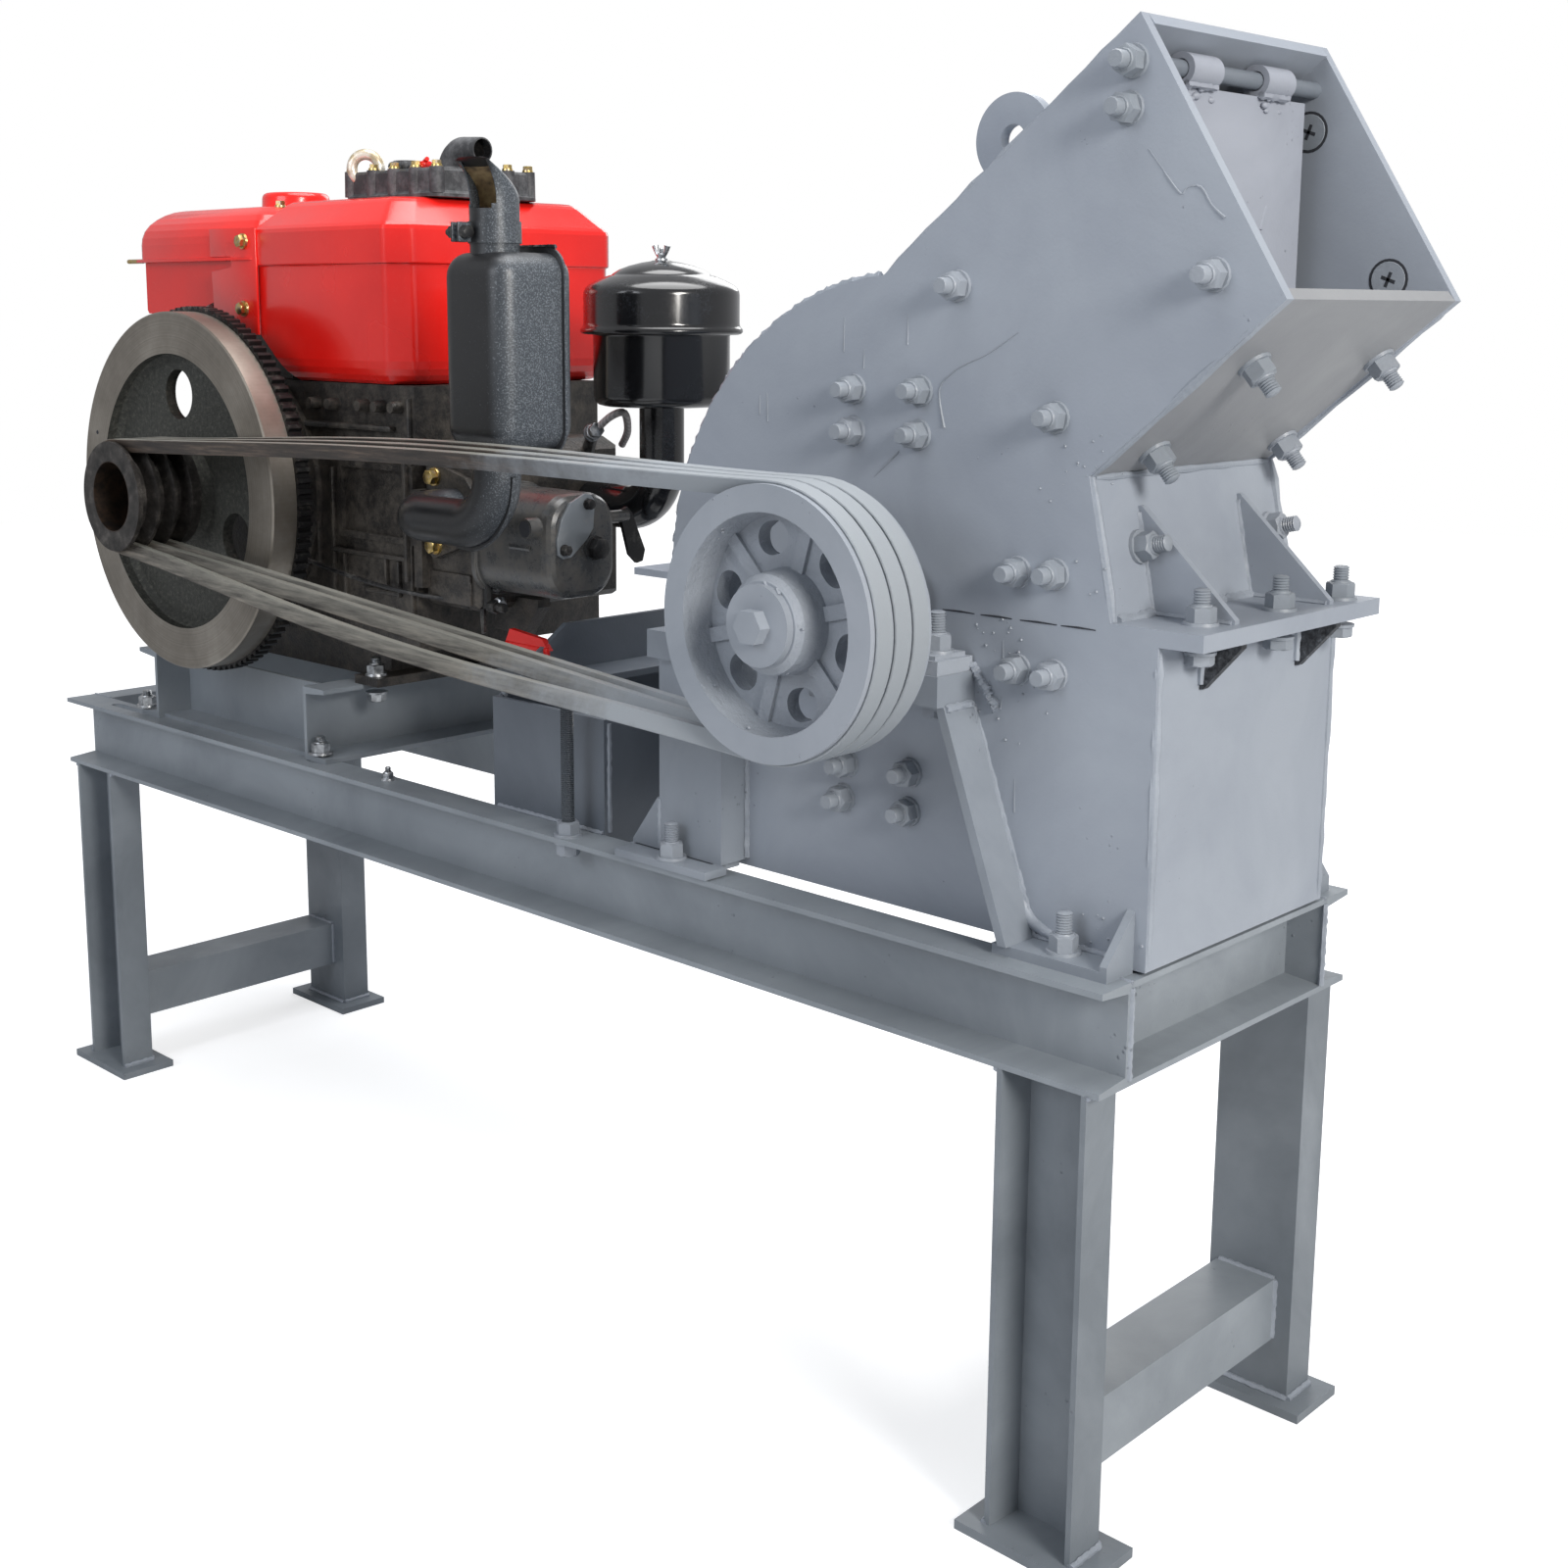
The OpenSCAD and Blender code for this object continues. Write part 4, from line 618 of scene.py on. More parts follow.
for y in (-189, 197):
    for x in (577, 723):
        fit(nuts, long_stud, [(x, y, 854)])
        stamp(nuts, fastener(24, 12, 30), (x, y, 806), (0, 0, -1))
    for x, out in ((385, 220), (872, 184)):
        fit(nuts, long_stud, [(x, 4 + math.copysign(out, y), 588)])
piece(nuts, "bearing_bolts", bolt_enamel)

# ---- Rotor ----
# Turned shaft with plate discs; swing hammers and grate bars of manganese
# steel, dark and scoured, with pale stone dust left in the corners.
scoured, add, shader, coords, _ = mottled("scoured_manganese_steel", (38, 6, 0.65), {
    0.35: "3E3630", 0.55: "5A544E", 0.7: "9C968C"}, Metallic=0.85, Roughness=0.55)
pit = add("TexNoise", (coords, 1000 / 4, 4))
plug(shader, {"Normal": add("Bump", {"Height": pit, "Strength": 0.6, "Distance": 0.002})})
dress(scoured, "rotor_discs", "hammers", "grate")
# drawn and turned shaft: smooth, slightly oily, fine rings round its own axis
turned, add, shader, coords = new_material("turned_shaft_steel", Metallic=1.0, Roughness=0.34)
ring = add("TexNoise", (add("Mapping", {"Vector": coords, "Scale": (20, 900, 20)}), 1, 3))
tone = add("ValToRGB", ring, {0.3: "6E6C69", 0.7: "8F8D89"})
lathe = add("Bump", {"Height": ring, "Strength": 0.3, "Distance": 0.0003})
plug(shader, {"Base Color": tone, "Normal": lathe})
dress(turned, "rotor_shaft", "crankshaft")

# ---- Driven pulley ----
# Sand-cast iron: rim faces turned smooth, web and hub left with the rough skin
# of the mould, all under the grey enamel. A washer and bolt hold it on the shaft.


def radius_about(add, coords, axis):
    """The distance in metres from an axis along Y."""
    middle = at(axis[0], 0, axis[1])
    flat = add("VectorMath", (coords, (middle.x, 0, middle.z)), operation="SUBTRACT")
    plane = add("VectorMath", (flat, (1, 0, 1)), operation="MULTIPLY")
    return add("VectorMath", plane, operation="LENGTH")


def pulley_web(add, coords):
    """Where the pulley keeps its cast skin: between the washer and the turned rim."""
    return add("Math", (radius_about(add, coords, rotor_axis), 0.0735, 0.031), operation="COMPARE")


pulley_enamel = sprayed_enamel("enamel_on_cast_pulley", "979DA6", "878E97", roughness=0.42, nibs=0.3,
                               lumps=3.0, lump_mm=9, coarse=pulley_web)
dress(pulley_enamel, "driven_pulley")
nibs = bmesh.new()
for k in range(34):
    turn, out = random.uniform(0, 2 * math.pi), random.choice((45, 47.5, 102))
    x, z = around(rotor_axis, out, turn)
    spot = (x, -355 + random.uniform(3, 30), z)
    bmesh.ops.create_icosphere(nibs, subdivisions=1, radius=random.uniform(0.8, 2.4),
                               matrix=Matrix.Translation(spot))
for turn in (1.1, 1.5):
    x, z = around(rotor_axis, 40, turn)
    spot = Vector((x, -355, z))
    weld(nibs, spot, spot + Vector((5, -2, -5)), 4, 2)
piece(nibs, "pulley_casting_nibs", pulley_enamel, body="rotor")

# ---- Engine bed ----
# Two channels across the table and two angles between them; the open plate box
# beside them and the tensioning stud are welded to the table and sprayed with it.
dress(frame_enamel, "engine_beams", "engine_rails")
# the box in a darker coat than the table: painted shade under the belts
box_shade_enamel = sprayed_enamel("box_enamel_darkened_as_painted_shade", "6C737C", "5E656E", roughness=0.46, nibs=0.35)
dress(box_shade_enamel, "centre_box")
beads = bmesh.new()
for y in (-180, 180):
    out = math.copysign(1, y)
    weld(beads, (45, y - out, 579), (235, y - out, 579), 7)
    for x in (37, 237):
        weld(beads, (x, y - out * 8, 580), (x, y - out * 8, 708), 6, 6)
for x, y in ((-716, -146), (-716, 146), (-338, -146), (-338, 146)):
    weld(beads, (x, y, 581), (x, y, 660), 6)
for k in range(12):
    x, z = 46 + 5 * k, 715 + 2.6 * k
    weld(beads, (44 + random.uniform(-3, 3), -168 + 4.6 * k, z), (47, -165 + 4.6 * k, z + 5), 9, 4)
piece(beads, "bed_welds", weld_enamel)
# rolled thread with paint in its roots
stud = bmesh.new()
bolt_end(stud, 16, 560, 743, 2.4)
bmesh.ops.remove_doubles(stud, verts=stud.verts, dist=0.02)
bmesh.ops.translate(stud, vec=(208, -210, 0), verts=stud.verts)
thread_enamel = sprayed_enamel("enamel_on_rolled_thread", "5B6167", "42474D", roughness=0.4, nibs=0.2)
stud_piece = piece(stud, "tension_stud_thread", thread_enamel)
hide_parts("tension_stud")
nuts = bmesh.new()
for z, along in ((578, 1), (572, -1)):
    stamp(nuts, fastener(24, 14, 34), (208, -210, z), (0, 0, along))
piece(nuts, "tension_stud_nuts", bolt_enamel)
# zinc-plated bolts that clamp the engine to the bed and the bed to the table
zinc, add, shader, coords, bloom = mottled("bright_zinc_plate", (6, 4),
        {0.35: "8E9194", 0.65: "C2C5C8"},
                                           Metallic=1.0, Roughness=0.32)
plug(shader, {"Roughness": add("MapRange", (bloom, 0, 1, 0.22, 0.5))})
bolts = bmesh.new()
fit(bolts, fastener(22, 12, 32, 14, 9, 2.2), [(x, y, 588) for x in (-760, -309) for y in (-196, 196)])
for x in (-709, -277):
    for y in (-126, 126):
        fit(bolts, fastener(22, 12, 30, 14, 10, 2.2), [(x, y, 690)])
        fit(bolts, fastener(22, 10, 30), [(x, y, 668)], (0, 0, -1))
for y in (-195, 195):
    stamp(bolts, fastener(13, 6, 20, 8, 8, 1.8), (-160, y, 578), (0, 0, 1))
piece(bolts, "engine_mount_bolts", zinc)

# ---- Engine block and cylinder head ----
# Grey-iron castings: crankcase, bolted head and slanting foot, brushed over
# with black enamel that has worn to grey on the raised ribs and joint flanges.


def cast_iron(name, dark, worn, roughness=0.46, wear=0.62, lumps=1.6, metallic=0.0):
    """Black enamel over a sand-cast skin: grainy, half glossy, rubbed through to grey in patches."""
    material, add, shader, coords, patch = mottled(name, (30, 9, 0.8), {
        wear - 0.12: dark, wear + 0.2: worn}, Metallic=metallic)
    matt = add("MapRange", (patch, 0.3, 0.7, roughness - 0.1, roughness + 0.16))
    sand = add("TexNoise", (coords, 1000 / 3.5, 5, 0.6))
    skin = add("Bump", {"Height": sand, "Strength": 0.6, "Distance": lumps / 1000})
    plug(shader, {"Roughness": matt, "Normal": skin})
    return material


block_iron = cast_iron("black_enamel_on_cast_iron", "252322", "5E5850", roughness=0.4, wear=0.54)
dress(block_iron, "engine_block", "cylinder_head")
ribs = bmesh.new()
for x, low, high in ((-376, 830, 966), (-341, 775, 966), (-316, 770, 853), (-224, 812, 857),
                     (-197, 805, 852), (-168, 782, 1062)):
    block(ribs, (x - 2.5, -146, low), (x + 2.5, -138, high), 2)
block(ribs, (-341, -146, 853), (-165, -138, 859), 2)
block(ribs, (-270, -145, 806), (-197, -138, 812), 2)
block(ribs, (-176, -152, 828), (-168, -138, 982), 2.5)
block(ribs, (-395, -150, 1018), (-200, -138, 1026), 3)
for x in (-372, -330, -262, -226, -190):
    drum(ribs, (x, -147, 1050), 9, 7, 18, 16, math.pi / 2)
# exhaust flange on the head, and the lifter gallery plate under it
plate(ribs, [(-138, 868), (-128, 862), (-62, 884), (-44, 905), (-44, 948), (-62, 968), (-128, 984),
             (-138, 978)], -139, -130)
block(ribs, (-150, -134, 806), (-62, -128, 846), 3)
piece(ribs, "crankcase_ribs", block_iron)

# yellow-passivated cap screws: brassy with a green and violet bloom
gold = mottled("yellow_zinc_chromate", (5, 3), {0.36: "A9925A", 0.5: "CDB473", 0.66: "B8A48C"},
               Metallic=1.0, Roughness=0.3)[0]
screws = bmesh.new()
fit(screws, fastener(17, 9, 24), [(-122, -139, z) for z in (879, 966)], (0, -1, 0))
piece(screws, "exhaust_flange_screws", gold)

# plain dark nuts, the fuel pipe along the crankcase with its unions, and the stop lever
dark_steel = cast_iron("blacked_steel", "2A2A2B", "7A7874", roughness=0.4, lumps=0.3, metallic=0.5)
pipes = bmesh.new()
tube(pipes, [(-399, -152, 838), (-300, -156, 827), (-204, -154, 818), (-140, -138, 812),
        (-79, -120, 811)], 3, 8, 6)
for x, size in ((-104, 8), (-84, 10), (-66, 7), (-34, 9), (-20, 6)):
    tube(pipes, [(x - 7, -118, 808), (x + 7, -118, 808)], size, 6, 1)
plate(pipes, [(-56, 804), (-47, 804), (-48, 774), (-53, 772)], -124, -120)
tube(pipes, [(-44, -120, 808), (-44, -120, 838)], 6, 8, 1)
tube(pipes, [(-60, 60, 985), (-38, 50, 1010), (-30, 45, 1019)], [9, 8, 7], 10, 2)
piece(pipes, "fuel_pipe_and_stop_lever", dark_steel)
injector = bmesh.new()
aim = Vector((0.86, -0.45, 0.2)).normalized()
spot = Vector((-34, 47, 1017))
stamp(injector, fastener(19, 11, 24), spot, aim)
stamp(injector, fastener(17, 9, 19), spot + aim * 18, aim, 0.4)
stamp(injector, fastener(13, 7, 16), (-30, -108, 812), (0, -1, 0.1))
piece(injector, "injector_union", zinc)
# return hose of grey rubber from the injector up behind the muffler
hose_rubber, add, shader, coords = new_material("grey_hose_rubber", Roughness=0.6)
weave = add("TexWave", {"Vector": coords, "Scale": 1000 / 14, "Distortion": 1})
tone = add("ValToRGB", weave.outputs["Fac"], {0.2: "8B8787", 0.8: "A9A4A3"})
plug(shader, {"Base Color": tone})
hose = bmesh.new()
tube(hose, [(-16, 38, 1022), (6, 44, 1040), (14, 60, 1044), (-6, 84, 1020), (-30, 96, 1000)], 5, 10, 6)
piece(hose, "injector_return_hose", hose_rubber)

# ---- Rocker cover ----
# Deep-drawn sheet cover over the valve gear, in semi-gloss grey-black, with a
# bolted end plate, the breather on its side and the decompression lever.
cover_paint = cast_iron("gunmetal_enamel_on_pressed_steel", "4E5052", "6E6A64", roughness=0.27,
        wear=0.55,
                        lumps=0.1, metallic=0.4)


def pressed(size, corners, layers):
    """A pressed sheet shell as a mesh centred on the z axis. Corners are the bevels of its outline: a
    width, segments, and the side of x or 0 for all. Each layer is a height and its step inwards."""
    bm = bmesh.new()
    bmesh.ops.create_grid(bm, x_segments=1, y_segments=1, size=0.5,
                          matrix=Matrix.Diagonal((size[0], size[1], 1, 1)))
    for width, segments, side in corners:
        bmesh.ops.bevel(bm, geom=[v for v in bm.verts if v.co.x * side >= 0], offset=width,
                        segments=segments, profile=0.5, affect="VERTICES", material=-1)
    bm.faces.ensure_lookup_table()
    top, last = bm.faces[0], 0
    for k, (height, step) in enumerate(layers):
        if k:
            grown = bmesh.ops.extrude_face_region(bm, geom=[top])["geom"]
            top = next(g for g in grown if isinstance(g, bmesh.types.BMFace))
        for vert in top.verts:
            vert.co.x *= (size[0] - 2 * step) / (size[0] - 2 * last)
            vert.co.y *= (size[1] - 2 * step) / (size[1] - 2 * last)
            vert.co.z = height
        last = step
    return mesh_of(bm)


towards_x = Matrix(((0, 0, 1, 0), (1, 0, 0, 0), (0, 1, 0, 0), (0, 0, 0, 1)))
cover = bmesh.new()
add_copy(cover, pressed((112, 130), [(38, 9, 0)], [(0, -5), (6.5, -5), (7.5, -4), (8, 0), (60, 0.4),
        (126, 1),
                                                 (134, 3), (139, 6.5), (141.4, 11), (142, 15)]),
          Matrix.Translation((-49.4, -80, 891)) @ towards_x)
end_plate = bmesh.new()
plate(end_plate, [(-123, 884), (-116, 879), (-103, 880), (-78, 899), (-67, 913), (-64, 946), (-70, 954),
                  (-80, 956), (-103, 946), (-118, 926), (-125, 902)], 0, 4.4)
lid = bmesh.new()
add_copy(lid, mesh_of(end_plate), Matrix(((0, 1, 0, 91.4), (1, 0, 0, 0), (0, 0, 1, 0), (0, 0, 0, 1))))
rounded(lid, lid.edges[:], 1)
lid_paint = cast_iron("grey_enamel_on_end_plate", "777D83", "8D9092", roughness=0.36, lumps=0.1,
        metallic=0.3)
piece(lid, "rocker_end_plate", lid_paint)
tube(cover, [(68, -125, 916), (68, -152, 916)], 13, 16, 1)
tube(cover, [(20, -134, 890), (58, -134, 890)], 4, 8, 1)
tube(cover, [(70, -30, 921), (70, 10, 921)], 8, 12, 1)
tube(cover, [(88, -66, 889), (98, -66, 889)], 15, 16, 1)
cover_piece = piece(cover, "rocker_cover_shell", cover_paint, crease=42)
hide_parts("rocker_cover")
lever = bmesh.new()
plate(lever, [(2, 929), (10, 932), (18, 924), (40, 876), (36, 862), (26, 860), (13, 872), (0, 916)],
        -73, -68)
bmesh.ops.transform(lever, matrix=Matrix.Rotation(math.pi / 2, 4, "Z"), verts=lever.verts)
for y, z, x, flats, height in ((-76, 943, 95.5, 11, 6), (-114, 890, 95.5, 11, 6),
        (-66, 889, 98, 23, 10)):
    stamp(lever, fastener(flats, height, flats * 1.3), (x, y, z), (1, 0, 0), z)
piece(lever, "rocker_cover_bolts_and_lever", dark_steel)
# a dark disc at the breather's end: painted shade of its open bore
shade_disc = bmesh.new()
drum(shade_disc, (68, -152.2, 916), 10, 10, 0.8, 14, math.pi / 2)
piece(shade_disc, "breather_mouth", groove)

# ---- Flywheel and starter ring ----
# Cast-iron flywheel: rim and hub faces turned bright and since gone brown-grey,
# the web between them still sand-cast. Only the rim is drawn bright: inside it the
# web and the hub face share one dark colour, darkened as painted shade of the rim
# and of the pulley in front. The ring gear is shrunk on behind.
crank_axis = Vector((-543, 926))
turned_iron, add, shader, coords = new_material("turned_flywheel_iron")
radius = radius_about(add, coords, crank_axis)
# web and hub face alike: sand-cast skin, darkened further as painted shade
web = add("Math", (radius, 0.187), operation="LESS_THAN")
rings = add("TexNoise", (add("CombineXYZ", radius), 1000 / 1.6, 6, 0.7))
stain = add("TexNoise", (coords, 1000 / 120, 7, 0.65))
blend = add("Math", (rings, stain), operation="ADD")
half = add("Math", (blend, 0.5), operation="MULTIPLY")
bright = add("ValToRGB", half, {0.36: "6E6860", 0.5: "8D877E", 0.64: "ABA59C"})
sand = add("TexNoise", (coords, 1000 / 6, 6, 0.7))
cast_skin_and_shade = add("ValToRGB", sand, {0.36: "282926", 0.55: "3C3D38", 0.72: "5C5C55"})
skin = add("Mix", (web, bright, cast_skin_and_shade), data_type="RGBA")
plug(shader, {"Metallic": add("MapRange", (web, 0, 1, 0.9, 0.1)),
              "Roughness": add("MapRange", (web, 0, 1, 0.4, 0.6))})
lathe = add("Bump", {"Height": rings, "Strength": 0.35, "Distance": 0.0003})
height = add("Math", (sand, web), operation="MULTIPLY")
mould = add("Bump", {"Height": height, "Strength": 0.8, "Distance": 0.0035, "Normal": lathe})
plug(shader, {"Base Color": skin, "Normal": mould})
dress(turned_iron, "flywheel")
gear_steel = cast_iron("blacked_gear_steel", "1E1E1F", "77756F", roughness=0.4, wear=0.66,
        lumps=0.4, metallic=0.6)
dress(gear_steel, "starter_ring")
# two shallow holes drilled to balance the wheel, drawn as dark discs: painted shade of the holes
hole_shades = bmesh.new()
for turn, out, size in ((0.55, 165, 4), (2.8, 215, 3)):
    x, z = around(crank_axis, out, turn)
    drum(hole_shades, (x, -262.2 if out > 187 else -241.2, z), size, size - 0.5, 0.6, 12, math.pi / 2)
piece(hole_shades, "balance_hole_shades", groove, body="crank")

# ---- Engine pulley ----
# Three-groove sleeve turned from cast iron and bolted to the flywheel, oiled
# and dark, its flanks polished by the belts and its open bore rusty.
sleeve, add, shader, coords = new_material("oiled_pulley_iron", Metallic=0.7, Roughness=0.4)
radius = radius_about(add, coords, crank_axis)
bore = add("MapRange", (radius, 0.0462, 0.0478))
grain = add("TexNoise", (coords, 1000 / 22, 7, 0.68))
rust = add("ValToRGB", grain, {0.4: "2B2724", 0.62: "4C3C31"})
oiled = add("ValToRGB", grain, {0.36: "2C2B2A", 0.55: "474442", 0.7: "6B6763"})
skin = add("Mix", (bore, rust, oiled), data_type="RGBA")
turn_marks = add("TexNoise", (add("CombineXYZ", radius), 1000 / 1.5, 3))
lathe = add("Bump", {"Height": turn_marks, "Strength": 0.4, "Distance": 0.0004})
plug(shader, {"Base Color": skin, "Normal": lathe})
dress(sleeve, "engine_pulley")

# ---- Belts ----
# Three classical V-belts of rubberised cloth, dusty brown-black; towards the
# crusher they carry the grey overspray of the paint gun.
rubber, add, shader, coords = new_material("rubberised_belt_cloth", Roughness=0.6)
place = add("SeparateXYZ", coords)
facing = add("SeparateXYZ", add("TexCoord").outputs["Normal"])
streak = add("TexNoise", (add("Mapping", {"Vector": coords, "Scale": (9, 200, 120)}), 1, 6, 0.7))
mist = add("TexNoise", (coords, 1000 / 70, 6, 0.7))
cloth = add("ValToRGB", streak, {0.36: "231E1B", 0.52: "3A322C", 0.68: "65564A"})
up = add("MapRange", (facing.outputs["Z"], 0.2, 0.9, 0, 0.62))
below = add("MapRange", (place.outputs["Z"], at(0, 0, 880).z, at(0, 0, 840).z, -0.3, -0.02))
settled = add("Math", (up, below), operation="ADD")
dusty = add("Math", (settled, streak), operation="ADD")
dust = add("MapRange", (dusty, 0.42, 1, 0, 0.85))
worn = add("Mix", (dust, cloth, "8A8B84"), data_type="RGBA")
near = add("MapRange", (place.outputs["X"], at(60, 0, 0).x, at(600, 0, 0).x, -0.3, 0.9))
spray = add("Math", (near, mist), operation="ADD")
coat_share = add("MapRange", (spray, 0.5, 1.1))
skin = add("Mix", (coat_share, worn, "8F959B"), data_type="RGBA")
ply = add("TexNoise", (coords, 1000 / 1.8, 3))
cord = add("Bump", {"Height": ply, "Strength": 0.4, "Distance": 0.0005})
plug(shader, {"Base Color": skin, "Normal": cord})
small, large = 73, 130  # radii of the two pulley rims
line = rotor_axis - crank_axis
lean, spread = math.atan2(line.y, line.x), math.asin((large - small) / line.length)


def belt_line(sag, bow):
    """Points once round both pulleys on the rim line, each with its outward direction in X and Z."""
    upper, lower = lean + math.pi / 2 + spread, lean - math.pi / 2 - spread
    course = []
    for middle, radius, first, last, steps, slack in (
            (crank_axis, small, lower + 2 * math.pi, upper, 20, bow),
            (rotor_axis, large, upper, lower, 28, sag)):
        for k in range(steps + 1):
            turn = first + (last - first) * k / steps
            out = Vector((math.cos(turn), math.sin(turn)))
            course.append((middle + out * radius, out))
        start = middle + out * radius
        end = rotor_axis + out * large if radius == small else crank_axis + out * small
        for k in range(1, 22):
            hang = slack * math.sin(math.pi * k / 22) ** 1.6
            course.append((start.lerp(end, k / 22) + out * hang, out))
    return course


belts = bmesh.new()
for y, sag, bow in ((-338, 18, 9), (-312.5, -1, 12), (-287, 0, 15)):
    rings = []
    for spot, out in belt_line(sag, bow):
        ring = [belts.verts.new((spot.x + out.x * rise, y + side, spot.y + out.y * rise)) for rise,
                side in
                ((3, -10.4), (3, 10.4), (1.8, 11), (-13, 5.6), (-14, 4.8), (-14, -4.8), (-13, -5.6),
                (1.8, -11))]
        rings.append([belts.edges.new((ring[k - 1], ring[k])) for k in range(8)])
    for k in range(len(rings)):
        bmesh.ops.bridge_loops(belts, edges=rings[k - 1] + rings[k])
belt_piece = piece(belts, "hanging_belts", rubber, crease=30)
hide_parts("drive_belts")

# ---- Exhaust ----
# Elbow and muffler pressed from sheet steel in two halves and welded along
# their seams, in heat-proof black; dust has settled on the muffler's flank,
# and the faces towards +X carry a lighter grey as painted light.
stove, add, shader, coords = new_material("stove_enamel_on_sheet_steel", Roughness=0.36)
cloud = add("TexNoise", (coords, 1000 / 50, 5))
facing = add("SeparateXYZ", add("TexCoord").outputs["Normal"])
side = add("MapRange", (facing.outputs["X"], -0.1, 0.95, -0.14, 0.08))
dust = add("TexNoise", (coords, 1000 / 1.8, 2, 0.6))
fleck = add("Math", (dust, side), operation="ADD")
amount = add("MapRange", (fleck, 0.56, 0.74, 0, 0.6))
# faces towards +X turn from black to grey: painted light on the lit side
lit_side_facing_x = add("MapRange", (facing.outputs["X"], 0.1, 0.9))
haze = add("Mix", (lit_side_facing_x, "1A1B1D", "3F444A"), data_type="RGBA")
skin = add("Mix", (amount, haze, "8B9299"), data_type="RGBA")
matt = add("MapRange", (cloud, 0.3, 0.7, 0.27, 0.46))
skin_bump = add("Bump", {"Height": dust, "Strength": 0.2, "Distance": 0.0004})
plug(shader, {"Base Color": skin, "Roughness": matt, "Normal": skin_bump})
dress(stove, "exhaust_elbow")
shell = bmesh.new()
block(shell, (55, -264, 1016), (168, -150, 1237), 27, 7)
pipe_x, pipe_y = 105, -220
tube(shell, [(pipe_x, pipe_y, 1230), (pipe_x, pipe_y, 1250)], 28, 32, 1)
flange = pressed((125, 234), [(30, 8, 0)], [(0, 0.8), (0.4, 0), (3.4, 0), (3.8, 0.8)])
towards_y = Matrix(((1, 0, 0, 0), (0, 0, 1, 0), (0, 1, 0, 0), (0, 0, 0, 1)))
add_copy(shell, flange, Matrix.Translation((110, -176.4, 1127)) @ towards_y)
for start in range(66, 150, 9):
    weld(shell, (start, -174.5, 1244), (start + 10, -174.5, 1244), 5, 3)
muffler_piece = piece(shell, "muffler_shells", stove, crease=42)
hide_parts("muffler")
seam = bmesh.new()
for radius, turns, width, steps in ((90, (-1.75, -1.4, -1.05, -0.7, -0.35, 0),
        [2.5, 3.6, 2.8, 4.2, 3, 3.4], 4),
                                    (31, (-1.57, -1, -0.5, 0), 2.5, 3)):
    course = [around((42, 986), radius, turn) for turn in turns]
    tube(seam, [(x, pipe_y, z) for x, z in course], width, 6, steps)
piece(seam, "elbow_seam", stove)

# tail pipe: cut open to the front and bent over so that rain stays out, held by a clamp
tail = bmesh.new()
ringed_pipe(tail, 28.5, 95, 32, 18)
gone = []
for face in tail.faces:
    spot = face.calc_center_median()
    off = abs(math.degrees(math.atan2(spot.x, -spot.y)))
    if off < 58 and spot.z > -10 + 12 * (off / 58) ** 6:
        gone.append(face)
bmesh.ops.delete(tail, geom=gone, context="FACES")


def lean_over(bm):
    """Bends the top of the pipe forwards, its back wall the furthest."""
    for vert in bm.verts:
        over = max(vert.co.z, 0) / 47.5
        vert.co.z -= (28 - vert.co.y) * 0.08 * over ** 2
        vert.co.y -= (15 + (vert.co.y + 15) * 1.1) * over ** 2


lean_over(tail)
bmesh.ops.solidify(tail, geom=tail.faces[:], thickness=2.2)
bmesh.ops.translate(tail, vec=(pipe_x, pipe_y, 1292.5), verts=tail.verts)
tail_piece = piece(tail, "tail_pipe_hood", stove, crease=50)
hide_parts("tail_pipe")
soot = mottled("rust_and_soot", (14, 5), {0.35: "4A3E30", 0.55: "8A7453", 0.7: "A8946C"},
        Roughness=0.8)[0]
liner = bmesh.new()
ringed_pipe(liner, 25.8, 80, 32, 8)
bmesh.ops.delete(liner, geom=[f for f in liner.faces if f.calc_center_median().y < 2], context="FACES")
lean_over(liner)
bmesh.ops.translate(liner, vec=(pipe_x, pipe_y, 1292.5), verts=liner.verts)
bmesh.ops.solidify(liner, geom=liner.faces[:], thickness=0.4)
piece(liner, "tail_pipe_bore", soot, crease=50)
clamp = bmesh.new()
band = drum(clamp, (pipe_x, pipe_y, 1259), 30.5, 30.5, 24, 32, caps=False)
bmesh.ops.solidify(clamp, geom=list({f for v in band for f in v.link_faces}), thickness=2)
for x in (88, 99):
    block(clamp, (x - 1.5, -268, 1248), (x + 1.5, -247, 1270), 1)
piece(clamp, "tail_clamp", stove)
bolts = bmesh.new()
stamp(bolts, fastener(13, 7, 15), (100.5, -260, 1259), (1, 0, 0))
stamp(bolts, fastener(13, 6, 15, 8, 7, 1.8), (86.5, -260, 1259), (-1, 0, 0))
piece(bolts, "tail_clamp_bolt", dark_steel)

